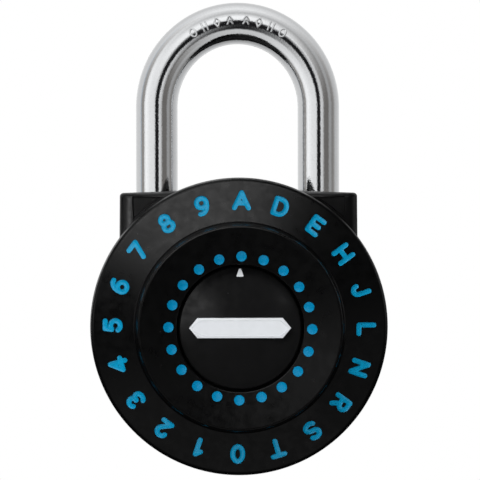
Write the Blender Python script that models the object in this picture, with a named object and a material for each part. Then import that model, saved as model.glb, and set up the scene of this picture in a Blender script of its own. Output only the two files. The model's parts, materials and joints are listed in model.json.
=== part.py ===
"""Dial combination padlock, built from its separate working pieces.

The frame's origin is the inner top of the shackle's crown, where the lock hangs.
World +Z runs up along the shackle and the dial faces -Y. The pieces are drawn in a
front-view plane: x to the right, u upwards and d towards the viewer (world X, Z and -Y),
in millimetres. Empties carry that plane into the world and stand on the joints' axes.
"""

import math

import bmesh
import bpy
from mathutils import Vector

MM = 0.001  # metres in a millimetre
GAP = 0.3  # clearance left between neighbouring pieces

# ---- driving dimensions, in millimetres ----

ROD_RADIUS = 3.57
LEG_X = 14.0
CROWN_RISE = 14.55  # from the end of the straight legs to the crown's centre line
SHOULDER_U = -25.4
TOE_END_U = -38.2
HEEL_END_U = -47.3
SHACKLE_LIFT = 13.0

DIAL_U = -48.6
DIAL_RADIUS = 25.4
DIAL_BACK = 9.0
DIAL_RIM_FRONT = 12.0
SKIRT_TOP = 14.2
KNOB_FOOT_RADIUS = 18.0
KNOB_CREST_RADIUS = 16.45
KNOB_FRONT = 20.2
BORE_RADIUS = 10.75
WEB_FRONT = 14.2
DIAL_TURN_AT_REST = math.radians(-1.1)  # clockwise, seen from the front

CASE_FRONT = 8.5
CASE_BACK = -8.5
CASE_RADIUS = 23.0
SHOULDER_HALF_TOP = 20.35
SHOULDER_HALF_LOW = 20.45
SHOULDER_CROWN = 0.4
FRONT_FILLET = 2.3
TOP_FILLET = 0.9
COLLAR_RADIUS = 25.9
PANEL_DEPTH = 0.3
WALL = 2.0
CAVITY_RADIUS = 20.2
RECESS_INSET = 1.5
COVER_FRONT = -6.8

FRAME_HALF = 18.0
FRAME_TOP_U = -27.95
FRAME_LOW_U = -61.0
FRAME_FRONT = 6.0
FRAME_BACK = -6.2
CHAMBER_FRONT = 4.0

WHEEL_RADIUS = 8.8
WHEEL_BORE = 4.7
WHEEL_THICKNESS = 1.6
CAM_DEPTH = 3.6
WHEEL_DEPTHS = {"wheel_2": 1.0, "wheel_1": -1.6}
SPACER_DEPTHS = {"spacer_front": 1.7, "spacer_rear": -0.9}
HUB_RADIUS = 4.4
SPINDLE_RADIUS = 3.4
POST_RADIUS = 1.8

CATCH_X = 6.0
CATCH_U = -35.3
NOSE_REACH = 6.3
NOSE_RADIUS = 0.9
FENCE_REACH = 6.8
FENCE_RADIUS = 0.9
FENCE_ANGLE = math.radians(209.0)
GATE_RADIUS = FENCE_REACH + FENCE_RADIUS + GAP

PIN_X = -10.9
PIN_U = -31.0
PIN_RADIUS = 1.0
RELIEF_DEPTH = 1.8

CAP_RADIUS = 10.15
CAP_FRONT = 17.9
CAP_BACK = 15.1
BADGE_HALF_WIDTH = 8.6
BADGE_HALF_HEIGHT = 1.7

FRAME_SCREWS = {
    "frame_screw_1": (-6.4, -32.2),
    "frame_screw_2": (14.4, -46.5),
    "frame_screw_3": (12.2, -57.9),
    "frame_screw_4": (-11.9, -58.4),
}

MATERIALS = {
    "black_coat": ((0.012, 0.012, 0.013), 0.35, 0.0),
    "black_plastic": ((0.010, 0.010, 0.011), 0.42, 0.0),
    "chromed_steel": ((0.80, 0.81, 0.82), 0.12, 1.0),
    "zinc_casting": ((0.52, 0.52, 0.50), 0.45, 1.0),
    "brass": ((0.72, 0.55, 0.24), 0.32, 1.0),
    "spring_steel": ((0.45, 0.45, 0.46), 0.30, 1.0),
    "plain_steel": ((0.58, 0.58, 0.59), 0.34, 1.0),
    "white_ink": ((0.82, 0.82, 0.82), 0.50, 0.0),
    "acetal": ((0.80, 0.79, 0.74), 0.55, 0.0),
}


# ---- tools ----

def clear_scene():
    """Remove every object that the scene holds."""
    for old in list(bpy.data.objects):
        bpy.data.objects.remove(old, do_unlink=True)


def material(slot):
    """Return the named material, made once from the table."""
    found = bpy.data.materials.get(slot)
    if found:
        return found
    colour, roughness, metallic = MATERIALS[slot]
    made = bpy.data.materials.new(slot)
    made.use_nodes = True
    shader = made.node_tree.nodes["Principled BSDF"]
    shader.inputs["Base Color"].default_value = (*colour, 1.0)
    shader.inputs["Roughness"].default_value = roughness
    shader.inputs["Metallic"].default_value = metallic
    return made


def empty(name, x=0.0, u=0.0, turn=0.0, parent=None):
    """Add an empty whose XY plane is the front view, turned about the viewer's axis."""
    holder = bpy.data.objects.new(name, None)
    bpy.context.collection.objects.link(holder)
    if parent:
        holder.parent = parent
        holder.location = (x * MM, u * MM, 0.0)
        holder.rotation_euler = (0.0, 0.0, turn)
    else:
        holder.location = (x * MM, 0.0, u * MM)
        holder.rotation_euler = (math.radians(90.0), 0.0, 0.0)
    return holder


def place(name, bm, parent, slot, smooth_angle=35.0):
    """Make an object of the mesh, under its empty and with its material."""
    bmesh.ops.remove_doubles(bm, verts=bm.verts, dist=1e-7)
    bmesh.ops.recalc_face_normals(bm, faces=bm.faces)
    mesh = bpy.data.meshes.new(name)
    bm.to_mesh(mesh)
    bm.free()
    mesh.shade_smooth()
    mesh.set_sharp_from_angle(angle=math.radians(smooth_angle))
    thing = bpy.data.objects.new(name, mesh)
    bpy.context.collection.objects.link(thing)
    thing.parent = parent
    thing.data.materials.append(material(slot))
    return thing


def lathe(profile, segments, x=0.0, u=0.0):
    """Spin a profile of (radius, depth) points about the viewer's axis through (x, u).

    A profile that starts and ends on the axis closes there. Any other profile is closed
    from its last point to its first, which makes a ring.
    """
    bm = bmesh.new()
    verts = [bm.verts.new((radius * MM, 0.0, depth * MM)) for radius, depth in profile]
    edges = [bm.edges.new(pair) for pair in zip(verts, verts[1:])]
    if profile[0][0] > 0.0:
        edges.append(bm.edges.new((verts[-1], verts[0])))
    bmesh.ops.spin(bm, geom=verts + edges, cent=(0, 0, 0), axis=(0, 0, 1),
                   angle=math.tau, steps=segments, use_merge=True)
    bmesh.ops.remove_doubles(bm, verts=bm.verts, dist=1e-7)
    bmesh.ops.translate(bm, verts=bm.verts, vec=(x * MM, u * MM, 0.0))
    return bm


def prism(outline, back, front):
    """Extrude an (x, u) outline from one depth to another."""
    bm = bmesh.new()
    face = bm.faces.new([bm.verts.new((x * MM, u * MM, back * MM)) for x, u in outline])
    grown = bmesh.ops.extrude_face_region(bm, geom=[face])["geom"]
    moved = [item for item in grown if isinstance(item, bmesh.types.BMVert)]
    bmesh.ops.translate(bm, verts=moved, vec=(0.0, 0.0, (front - back) * MM))
    bmesh.ops.recalc_face_normals(bm, faces=bm.faces)
    return bm


def loft(rings):
    """Bridge rings of (x, u, depth) points, all of one length, and cap the two ends."""
    bm = bmesh.new()
    loops = []
    for ring in rings:
        verts = [bm.verts.new((x * MM, u * MM, d * MM)) for x, u, d in ring]
        loops.append([bm.edges.new(pair) for pair in zip(verts, verts[1:] + verts[:1])])
    for lower, upper in zip(loops, loops[1:]):
        bmesh.ops.bridge_loops(bm, edges=lower + upper)
    bmesh.ops.holes_fill(bm, edges=loops[0] + loops[-1], sides=len(rings[0]))
    return bm


def arc(x, u, radius, start, end, steps):
    """Return points along an arc of the front-view plane, angles in radians."""
    angles = [start + (end - start) * k / steps for k in range(steps + 1)]
    return [(x + radius * math.cos(a), u + radius * math.sin(a)) for a in angles]


def box(x0, x1, u0, u1):
    """Return the outline of a rectangle."""
    return [(x0, u0), (x1, u0), (x1, u1), (x0, u1)]


def disc(radius, x=0.0, u=0.0, steps=28):
    """Return the outline of a circle."""
    return arc(x, u, radius, 0.0, math.tau, steps)[:-1]


def cutter(bm, name, parent):
    """Make a hidden wire object for a Boolean from the mesh."""
    tool = place(name, bm, parent, "plain_steel")
    tool.hide_render = True
    tool.display_type = "WIRE"
    return tool


def boolean(thing, tool, operation="DIFFERENCE"):
    """Add an exact Boolean of the tool to the object."""
    step = thing.modifiers.new(tool.name, "BOOLEAN")
    step.operation = operation
    step.solver = "EXACT"
    step.object = tool


def wire(name, points, radius, parent, slot, resolution=1, ends=None):
    """Make a mesh object from a round wire along (x, u, depth) points.

    Args:
        ends: radius factors of the first points, mirrored onto the last ones.
    """
    curve = bpy.data.curves.new(name, "CURVE")
    curve.dimensions = "3D"
    curve.bevel_depth = radius * MM
    curve.bevel_resolution = resolution
    curve.use_fill_caps = True
    spline = curve.splines.new("POLY")
    spline.points.add(len(points) - 1)
    for point, (x, u, d) in zip(spline.points, points):
        point.co = (x * MM, u * MM, d * MM, 1.0)
    for k, factor in enumerate(ends or []):
        spline.points[k].radius = factor
        spline.points[-1 - k].radius = factor
    drawn = bpy.data.objects.new(name + "_curve", curve)
    bpy.context.collection.objects.link(drawn)
    graph = bpy.context.evaluated_depsgraph_get()
    bm = bmesh.new()
    bm.from_mesh(drawn.evaluated_get(graph).to_mesh())
    bpy.data.objects.remove(drawn, do_unlink=True)
    return place(name, bm, parent, slot)


# ---- case ----

def case_outline(side, top, disc_radius):
    """Return the case's outline, drawn in by side at the flanks and by top at the top.

    The shoulders stand on a round body; their flanks widen a little downwards.
    """
    corner = 0.6
    half = SHOULDER_HALF_TOP - side
    ceiling = SHOULDER_U - top
    steps = 8
    points = []
    for k in range(steps + 1):
        x = (half - corner) * (1.0 - 2.0 * k / steps)
        points.append((x, ceiling - SHOULDER_CROWN * (x / half) ** 2))
    edge = ceiling - SHOULDER_CROWN - corner
    left_corner = arc(corner - half, edge, corner, math.radians(105), math.radians(180), 3)
    low = SHOULDER_HALF_LOW - side
    meet = math.atan2(math.sqrt(max(disc_radius ** 2 - low ** 2, 0.0)), -low)
    round_part = arc(0.0, DIAL_U, disc_radius, meet, math.tau + math.pi - meet, 40)
    right_corner = [(-x, u) for x, u in reversed(left_corner)]
    return points + left_corner + round_part + right_corner


def at_depth(outline, depth):
    """Give every point of an outline the same depth."""
    return [(x, u, depth) for x, u in outline]


def case_body(parent):
    """Make the die-cast case: rounded front, hollow inside, open and recessed behind."""
    rings = []
    rim, rim_fillet = CASE_BACK + 0.3, 0.9
    for k in range(5):
        a = math.radians(22.5 * k)
        inset = 1.0 - math.sin(a)
        depth = rim + rim_fillet * (1.0 - math.cos(a))
        outline = case_outline(rim_fillet * inset, 0.6 * rim_fillet * inset,
                               CASE_RADIUS - rim_fillet * inset)
        rings.append(at_depth(outline, depth))
    for k in range(5):
        a = math.radians(90.0 - 22.5 * k)
        inset = 1.0 - math.sin(a)
        depth = CASE_FRONT - FRONT_FILLET * (1.0 - math.cos(a))
        outline = case_outline(FRONT_FILLET * inset, TOP_FILLET * inset,
                               CASE_RADIUS - FRONT_FILLET * inset)
        rings.append(at_depth(outline, depth))
    case = place("case_body", loft(rings), parent, "black_coat")
    cavity = at_depth(case_outline(WALL, WALL + 0.1, CAVITY_RADIUS), 0.0)
    recess = at_depth(case_outline(RECESS_INSET, RECESS_INSET, CASE_RADIUS - RECESS_INSET), 0.0)
    inner = prism([(x, u) for x, u, _ in cavity], COVER_FRONT, CASE_FRONT - WALL)
    boolean(case, cutter(inner, "cut_case_cavity", parent))
    rear = prism([(x, u) for x, u, _ in recess], CASE_BACK - 1.0, COVER_FRONT + GAP)
    boolean(case, cutter(rear, "cut_case_recess", parent))
    hole = prism(disc(5.3, 0.0, DIAL_U, 32), 0.0, CASE_FRONT + 1.0)
    boolean(case, cutter(hole, "cut_case_spindle", parent))
    for side, name in ((-1, "left"), (1, "right")):
        leg = leg_cylinder(side * LEG_X, ROD_RADIUS + GAP, -30.0, -20.0)
        boolean(case, cutter(leg, "cut_case_leg_" + name, parent))
        panel = prism(shoulder_panel(side), CASE_FRONT - PANEL_DEPTH, CASE_FRONT + 1.0)
        boolean(case, cutter(panel, "cut_case_panel_" + name, parent))
    return case


def shoulder_panel(side):
    """Return the outline of the sunk panel between a shoulder's edges and the collar."""
    outer = SHOULDER_HALF_TOP - FRONT_FILLET
    top = SHOULDER_U - TOP_FILLET - 0.2
    high = math.asin((top - DIAL_U) / COLLAR_RADIUS)
    low = math.acos(outer / COLLAR_RADIUS)
    collar = arc(0.0, DIAL_U, COLLAR_RADIUS, low, high, 8)
    return [(side * x, u) for x, u in collar + [(outer, top)]]


def leg_cylinder(x, radius, low, high, steps=24):
    """Return an upright cylinder mesh on a leg's axis."""
    bm = bmesh.new()
    ring = disc(radius, x, 0.0, steps)
    face = bm.faces.new([bm.verts.new((cx * MM, low * MM, d * MM)) for cx, d in ring])
    grown = bmesh.ops.extrude_face_region(bm, geom=[face])["geom"]
    moved = [item for item in grown if isinstance(item, bmesh.types.BMVert)]
    bmesh.ops.translate(bm, verts=moved, vec=(0.0, (high - low) * MM, 0.0))
    bmesh.ops.recalc_face_normals(bm, faces=bm.faces)
    return bm


def back_cover(parent):
    """Make the rear cover plate, seated in the case's recess, with the post's hole."""
    inset = RECESS_INSET + GAP
    chamfer = 0.4
    rings = [
        at_depth(case_outline(inset + chamfer, inset + chamfer, CASE_RADIUS - inset - chamfer),
                 CASE_BACK),
        at_depth(case_outline(inset, inset, CASE_RADIUS - inset), CASE_BACK + chamfer),
        at_depth(case_outline(inset, inset, CASE_RADIUS - inset), COVER_FRONT),
    ]
    cover = place("back_cover", loft(rings), parent, "black_coat", 60.0)
    hole = lathe([(0.0, COVER_FRONT + 1.0), (POST_RADIUS + GAP, COVER_FRONT + 1.0),
                  (POST_RADIUS + GAP, -7.6), (3.1 + GAP, CASE_BACK - 0.1),
                  (3.1 + GAP, CASE_BACK - 1.0), (0.0, CASE_BACK - 1.0)], 24, 0.0, DIAL_U)
    boolean(cover, cutter(hole, "cut_cover_post", parent))
    return cover


# ---- inner frame ----

def lock_frame(parent):
    """Make the zinc frame that guides the legs and holds the wheels and the catch."""
    chamfer, low_chamfer = 0.8, 4.2
    outline = [
        (FRAME_HALF, FRAME_TOP_U - chamfer), (FRAME_HALF - 2.2, FRAME_TOP_U),
        (2.2 - FRAME_HALF, FRAME_TOP_U), (-FRAME_HALF, FRAME_TOP_U - chamfer),
        (-FRAME_HALF, FRAME_LOW_U + low_chamfer), (low_chamfer - FRAME_HALF, FRAME_LOW_U),
        (FRAME_HALF - low_chamfer, FRAME_LOW_U), (FRAME_HALF, FRAME_LOW_U + low_chamfer),
    ]
    frame = place("lock_frame", prism(outline, FRAME_BACK, FRAME_FRONT), parent, "zinc_casting")
    cuts = {
        "chamber": prism(disc(WHEEL_RADIUS + 0.6, 0.0, DIAL_U, 40), FRAME_BACK - 1, CHAMBER_FRONT),
        "plate_seat": prism(disc(12.3, 0.0, DIAL_U, 40), FRAME_BACK - 1, -4.4),
        "clip_hole": prism(disc(5.8, 0.0, DIAL_U, 28), 0.0, FRAME_FRONT + 1),
        "catch_pocket": prism(box(-1.5, 13.9, -43.6, -28.7), FRAME_BACK - 1, CHAMBER_FRONT),
        "catch_pivot": prism(disc(1.2 + GAP, CATCH_X, CATCH_U, 16), 0.0, FRAME_FRONT + 1),
        "toe_bore": leg_cylinder(LEG_X, ROD_RADIUS + GAP, TOE_END_U - 1.0, -20.0),
        "heel_bore": leg_cylinder(-LEG_X, ROD_RADIUS + GAP, -55.6, -20.0),
        "pin_hole": prism(disc(PIN_RADIUS + GAP, PIN_X, PIN_U, 16), FRAME_BACK - 1, 5.3),
    }
    for name, (x, u) in FRAME_SCREWS.items():
        cuts[name] = prism(disc(1.1 + GAP, x, u, 16), FRAME_BACK - 1, FRAME_FRONT + 1)
        cuts[name + "_head"] = prism(disc(2.0 + GAP, x, u, 16), FRAME_BACK - 1, -4.9 + GAP)
    for name, bm in cuts.items():
        boolean(frame, cutter(bm, "cut_frame_" + name, parent))
    return frame


def frame_screws(parent):
    """Make the screws that hold the frame, with slotted heads sunk in its back."""
    for name, (x, u) in FRAME_SCREWS.items():
        profile = [(0.0, FRAME_BACK + 0.1), (1.8, FRAME_BACK + 0.1), (2.0, FRAME_BACK + 0.3),
                   (2.0, -4.9), (1.1, -4.9), (1.1, FRAME_FRONT - 0.2), (0.0, FRAME_FRONT - 0.2)]
        screw = place(name, lathe(profile, 16, x, u), parent, "plain_steel")
        slot = prism(box(x - 2.5, x + 2.5, u - 0.25, u + 0.25), FRAME_BACK - 1, FRAME_BACK + 0.6)
        boolean(screw, cutter(slot, "cut_" + name, parent))


# ---- hub, post, cap and bearings ----

def wheel_hub(parent):
    """Make the plate with the tube that the wheels turn on."""
    profile = [(POST_RADIUS + GAP, -6.0), (12.0, -6.0), (12.0, -4.7), (HUB_RADIUS, -4.7),
               (HUB_RADIUS, 1.7), (POST_RADIUS + GAP, 1.7)]
    return place("wheel_hub", lathe(profile, 40, 0.0, DIAL_U), parent, "brass")


def centre_post(parent):
    """Make the post that runs from the cover through the spindle to the cap."""
    profile = [(0.0, CASE_BACK + 0.05), (3.0, CASE_BACK + 0.05), (POST_RADIUS, -7.5),
               (POST_RADIUS, CAP_BACK + 0.8), (POST_RADIUS - 0.4, CAP_BACK + 1.2),
               (0.0, CAP_BACK + 1.2)]
    return place("centre_post", lathe(profile, 20, 0.0, DIAL_U), parent, "plain_steel")


def centre_cap(parent):
    """Make the round cap that stays still inside the turning dial."""
    edge = 0.8
    rounded = [(CAP_RADIUS - edge + edge * math.sin(math.radians(a)),
                CAP_FRONT - 0.35 - edge + edge * math.cos(math.radians(a)))
               for a in (0, 30, 60, 90)]
    face = [(0.0, CAP_FRONT), (5.0, CAP_FRONT - 0.08), (8.0, CAP_FRONT - 0.22)]
    profile = face + rounded + [(CAP_RADIUS, CAP_BACK), (POST_RADIUS + GAP, CAP_BACK),
                                (POST_RADIUS + GAP, CAP_BACK + 1.5), (0.0, CAP_BACK + 1.5)]
    cap = place("centre_cap", lathe(profile, 40, 0.0, DIAL_U), parent, "black_plastic", 50.0)
    pocket = prism(badge_outline(GAP), CAP_FRONT - 0.65, CAP_FRONT + 1.0)
    boolean(cap, cutter(pocket, "cut_cap_badge", parent))
    return cap


def badge_outline(grow=0.0):
    """Return the outline of the plain bar with pointed ends on the cap."""
    half, height, point = BADGE_HALF_WIDTH + grow, BADGE_HALF_HEIGHT + grow, 1.4
    return [(half, DIAL_U), (half - point, DIAL_U + height), (point - half, DIAL_U + height),
            (-half, DIAL_U), (point - half, DIAL_U - height), (half - point, DIAL_U - height)]


def cap_badge(parent):
    """Make the plain badge bar, sunk in the cap's pocket."""
    bm = prism(badge_outline(), CAP_FRONT - 0.35, CAP_FRONT + 0.25)
    return place("cap_badge", bm, parent, "white_ink")


def bearings(parent):
    """Make the dial's bush and washer and the parts between the wheels."""
    bush = [(SPINDLE_RADIUS + GAP, 6.3), (5.0, 6.3), (5.0, 8.5), (SPINDLE_RADIUS + GAP, 8.5)]
    place("dial_bush", lathe(bush, 32, 0.0, DIAL_U), parent, "acetal")
    washer = [(3.8, 8.8), (6.4, 8.8), (6.4, 9.3), (3.8, 9.3)]
    place("dial_washer", lathe(washer, 32, 0.0, DIAL_U), parent, "spring_steel")
    for name, front in SPACER_DEPTHS.items():
        ring = [(WHEEL_BORE, front - 0.4), (6.5, front - 0.4), (6.5, front), (WHEEL_BORE, front)]
        place(name, lathe(ring, 28, 0.0, DIAL_U), parent, "acetal")
    tension = [(WHEEL_BORE, -4.4), (6.2, -4.4), (6.4, -3.9), (6.2, -3.5), (WHEEL_BORE, -3.5)]
    place("tension_washer", lathe(tension, 28, 0.0, DIAL_U), parent, "spring_steel")


# ---- dial ----

def dial_profile():
    """Return the dial's closed section as (radius, depth) points, front side first."""
    axle = SPINDLE_RADIUS + GAP
    bore_edge = KNOB_FRONT - 1.25
    front = [(axle, WEB_FRONT), (BORE_RADIUS, WEB_FRONT), (BORE_RADIUS, bore_edge - 0.2),
             (BORE_RADIUS + 0.2, bore_edge)]
    lip = 0.85
    for a in (105, 75, 45, 15):
        front.append((KNOB_CREST_RADIUS + lip * math.cos(math.radians(a)),
                      KNOB_FRONT - lip + lip * math.sin(math.radians(a))))
    foot = (KNOB_FOOT_RADIUS + 1.2, SKIRT_TOP + 1.2)
    for a in (175, 205, 235, 258):
        front.append((foot[0] + 1.2 * math.cos(math.radians(a)),
                      foot[1] + 1.2 * math.sin(math.radians(a))))
    rim = [(DIAL_RADIUS - 0.8, DIAL_RIM_FRONT + 0.1), (DIAL_RADIUS - 0.35, DIAL_RIM_FRONT - 0.15),
           (DIAL_RADIUS - 0.15, DIAL_RIM_FRONT - 0.6), (DIAL_RADIUS, DIAL_BACK)]
    wall = 1.8
    behind = [(DIAL_RADIUS - wall, DIAL_BACK), (DIAL_RADIUS - wall - 0.2, 10.4), (18.6, 12.2),
              (16.4, 13.2), (15.5, 18.2), (12.7, 17.0), (12.5, WEB_FRONT - wall),
              (6.3, WEB_FRONT - wall), (6.3, 9.6), (axle, 9.6)]
    return front + rim + behind


def dial_group(parent):
    """Make the dial and what turns with it, about the dial's axis."""
    place("dial", lathe(dial_profile(), 48), parent, "black_plastic")
    flange = (WEB_FRONT + GAP, CAP_BACK - GAP)
    spindle = [(POST_RADIUS + 0.35, flange[1]), (POST_RADIUS + 0.35, 2.0), (SPINDLE_RADIUS, 2.0),
               (SPINDLE_RADIUS, flange[0]), (5.4, flange[0]), (5.4, flange[1])]
    place("dial_spindle", lathe(spindle, 28), parent, "plain_steel")
    clip = [(SPINDLE_RADIUS + GAP, 5.0), (5.4, 5.0), (5.4, 5.6), (SPINDLE_RADIUS + GAP, 5.6)]
    place("spindle_clip", lathe(clip, 28), parent, "spring_steel")
    wheel_disc("drive_cam", CAM_DEPTH, SPINDLE_RADIUS + GAP, parent, "zinc_casting")


def wheel_disc(name, front, bore, parent, slot):
    """Make a lock wheel with its gate: a scallop centred on the catch's pivot."""
    back = front - WHEEL_THICKNESS
    chamfer = 0.2
    ring = [(bore, back), (WHEEL_RADIUS - chamfer, back), (WHEEL_RADIUS, back + chamfer),
            (WHEEL_RADIUS, front - chamfer), (WHEEL_RADIUS - chamfer, front), (bore, front)]
    wheel = place(name, lathe(ring, 48), parent, slot)
    reach = Vector((CATCH_X, CATCH_U - DIAL_U))
    angle = math.atan2(reach.y, reach.x) - parent.rotation_euler[2]
    gate = prism(disc(GATE_RADIUS, reach.length * math.cos(angle), reach.length * math.sin(angle),
                      48), back - 1, front + 1)
    boolean(wheel, cutter(gate, "cut_" + name + "_gate", parent))
    return wheel


# ---- shackle and catch ----

def crown_path(steps=24):
    """Return the shackle's centre line, from the toe over the crown to the heel."""
    spring_u = ROD_RADIUS - CROWN_RISE
    lead = 0.7
    toe = [(LEG_X, TOE_END_U, 0.0), (LEG_X, TOE_END_U + lead, 0.0)]
    heel = [(-LEG_X, HEEL_END_U + lead, 0.0), (-LEG_X, HEEL_END_U, 0.0)]
    crown = []
    for k in range(steps + 1):
        a = math.pi * k / steps
        crown.append((LEG_X * math.cos(a), spring_u + CROWN_RISE * math.sin(a), 0.0))
    return toe + crown + heel


def shackle(parent):
    """Make the hardened shackle with the toe's notch and the heel's relief flat."""
    bow = wire("shackle", crown_path(), ROD_RADIUS, parent, "chromed_steel", 7, [0.8])
    inner = LEG_X - ROD_RADIUS
    notch = prism([(inner - 1.0, CATCH_U + 1.2), (inner + 2.2, CATCH_U + 1.2),
                   (inner + 2.2, CATCH_U - 1.2), (inner, CATCH_U - 1.6),
                   (inner - 1.0, CATCH_U - 1.8)], -6.0, 6.0)
    boolean(bow, cutter(notch, "cut_toe_notch", parent))
    low = PIN_U - PIN_RADIUS - GAP - SHACKLE_LIFT
    high = PIN_U + PIN_RADIUS + GAP + 0.2
    relief = prism(box(-inner - RELIEF_DEPTH, 1.0 - inner, low, high), -6.0, 6.0)
    boolean(bow, cutter(relief, "cut_heel_relief", parent))
    return bow


def retaining_pin(parent):
    """Make the pin that keeps the heel in the frame."""
    profile = [(0.0, FRAME_BACK + 0.2), (PIN_RADIUS, FRAME_BACK + 0.2), (PIN_RADIUS, 5.0),
               (0.0, 5.0)]
    return place("retaining_pin", lathe(profile, 16, PIN_X, PIN_U), parent, "plain_steel")


def shackle_spring(parent):
    """Make the coil spring that lifts the heel."""
    low, high, coils, radius = -54.8, HEEL_END_U - 0.9, 5.0, 2.7
    steps = int(coils * 12)
    points = []
    for k in range(steps + 1):
        a = math.tau * k / 12
        points.append((-LEG_X + radius * math.cos(a), low + (high - low) * k / steps,
                       radius * math.sin(a)))
    return wire("shackle_spring", points, 0.45, parent, "spring_steel")


def catch_lever(parent):
    """Make the rocking catch, about its pivot: a nose, a hub and the fence bar."""
    nose_x = NOSE_REACH - NOSE_RADIUS
    nose = arc(nose_x, 0.0, NOSE_RADIUS, math.radians(-90), math.radians(90), 8)
    root = 1.9
    nose_plate = prism(nose + [(0.0, root), (-root * 0.7, 0.0), (0.0, -root)], -1.1, 1.1)
    lever = place("catch_lever", nose_plate, parent, "plain_steel")
    along = Vector((math.cos(FENCE_ANGLE), math.sin(FENCE_ANGLE)))
    end = along * FENCE_REACH
    tip = arc(end.x, end.y, FENCE_RADIUS, FENCE_ANGLE - math.pi / 2, FENCE_ANGLE + math.pi / 2, 8)
    side = Vector((-along.y, along.x)) * root
    arm = prism(tip + [(side.x, side.y), (-side.x, -side.y)], -1.1, 1.1)
    bar = prism(disc(FENCE_RADIUS, end.x, end.y, 16), -3.3, 3.55)
    hub = prism(disc(2.6, 0.0, 0.0, 24), -1.9, 1.9)
    for name, bm in (("arm", arm), ("fence", bar), ("hub", hub)):
        boolean(lever, cutter(bm, "join_catch_" + name, parent), "UNION")
    bore = prism(disc(1.2 + GAP, 0.0, 0.0, 16), -5.0, 5.0)
    boolean(lever, cutter(bore, "cut_catch_bore", parent))
    return lever


def catch_fixings(parent):
    """Make the catch's pivot pin and the torsion spring coiled on it."""
    profile = [(0.0, FRAME_BACK + 0.3), (1.2, FRAME_BACK + 0.3), (1.2, FRAME_FRONT - 0.2),
               (0.0, FRAME_FRONT - 0.2)]
    place("catch_pivot", lathe(profile, 16, CATCH_X, CATCH_U), parent, "plain_steel")
    radius, wire_radius, turns = 2.05, 0.3, 2.25
    back = -2.6
    steps = int(turns * 12)
    points = []
    for k in range(steps + 1):
        a = math.radians(90.0) + math.tau * k / 12
        points.append((CATCH_X + radius * math.cos(a), CATCH_U + radius * math.sin(a),
                       back - 0.8 * k / 12))
    last = points[-1]
    points.append((last[0], last[1] + 3.5, last[2]))
    wire("catch_spring", points, wire_radius, parent, "spring_steel")


def main():
    """Build every piece under the empty that carries it."""
    clear_scene()
    front_view = empty("front_view")
    dial_axis = empty("dial_axis", 0.0, DIAL_U, DIAL_TURN_AT_REST, front_view)
    wheel_axis = empty("wheel_axis", 0.0, DIAL_U, 0.0, front_view)
    shackle_slide = empty("shackle_slide", 0.0, 0.0, 0.0, front_view)
    catch_axis = empty("catch_axis", CATCH_X, CATCH_U, 0.0, front_view)
    case_body(front_view)
    back_cover(front_view)
    lock_frame(front_view)
    frame_screws(front_view)
    wheel_hub(front_view)
    centre_post(front_view)
    centre_cap(front_view)
    cap_badge(front_view)
    bearings(front_view)
    dial_group(dial_axis)
    for name, front in WHEEL_DEPTHS.items():
        wheel_disc(name, front, WHEEL_BORE, wheel_axis, "brass")
    shackle(shackle_slide)
    retaining_pin(front_view)
    shackle_spring(front_view)
    catch_lever(catch_axis)
    catch_fixings(front_view)


if __name__ == "__main__":
    main()
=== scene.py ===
"""Visual model of a dial combination padlock, dressed around its packed working parts.

World +Z runs up the shackle and the dial faces -Y. Shapes are drawn in a front-view plane
in millimetres: x to the right, u upwards and d towards the viewer (world X, Z and -Y).
"""

import json
import logging
import math
from contextlib import contextmanager
from dataclasses import dataclass, replace
from enum import Enum
from typing import Callable, Iterable, Iterator, Sequence

import bmesh
import bpy
import numpy as np
from bpy.types import ID, Collection, Material, Mesh, Node, NodeSocket, NodeTree, Object
from mathutils import Matrix, Vector
from mathutils.geometry import delaunay_2d_cdt

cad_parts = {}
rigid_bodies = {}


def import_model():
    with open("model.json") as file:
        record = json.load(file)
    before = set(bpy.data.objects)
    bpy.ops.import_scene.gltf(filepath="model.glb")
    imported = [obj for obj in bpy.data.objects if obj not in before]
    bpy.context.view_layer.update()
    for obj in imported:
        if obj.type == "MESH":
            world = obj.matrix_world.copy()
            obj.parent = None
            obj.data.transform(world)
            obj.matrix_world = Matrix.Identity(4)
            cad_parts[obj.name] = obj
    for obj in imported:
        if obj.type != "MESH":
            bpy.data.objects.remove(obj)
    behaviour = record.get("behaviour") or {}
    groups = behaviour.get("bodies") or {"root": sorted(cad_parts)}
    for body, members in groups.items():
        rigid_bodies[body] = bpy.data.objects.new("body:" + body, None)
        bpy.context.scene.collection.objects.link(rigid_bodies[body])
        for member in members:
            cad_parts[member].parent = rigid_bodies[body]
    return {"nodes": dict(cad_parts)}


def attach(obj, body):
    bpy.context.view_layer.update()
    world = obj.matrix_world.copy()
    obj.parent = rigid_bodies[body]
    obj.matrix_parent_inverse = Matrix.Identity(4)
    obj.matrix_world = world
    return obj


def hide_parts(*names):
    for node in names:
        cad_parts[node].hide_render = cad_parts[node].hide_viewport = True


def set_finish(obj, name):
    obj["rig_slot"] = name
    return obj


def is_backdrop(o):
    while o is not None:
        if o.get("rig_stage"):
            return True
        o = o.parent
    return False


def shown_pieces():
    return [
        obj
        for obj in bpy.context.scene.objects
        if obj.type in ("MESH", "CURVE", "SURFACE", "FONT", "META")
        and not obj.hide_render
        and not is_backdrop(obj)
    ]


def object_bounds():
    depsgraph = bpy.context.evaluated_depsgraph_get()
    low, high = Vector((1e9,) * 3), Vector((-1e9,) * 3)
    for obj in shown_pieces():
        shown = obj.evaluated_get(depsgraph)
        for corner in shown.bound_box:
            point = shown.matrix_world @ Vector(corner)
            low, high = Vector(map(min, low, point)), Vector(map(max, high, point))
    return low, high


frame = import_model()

LOG = logging.getLogger("padlock")
MM = 0.001  # metres in a millimetre
GAP = 0.3  # clearance between neighbouring pieces, in millimetres
AXIS_U = -48.6  # height of the dial's axis
LEG_X = 14.0  # distance of the legs' axes from the middle
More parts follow.
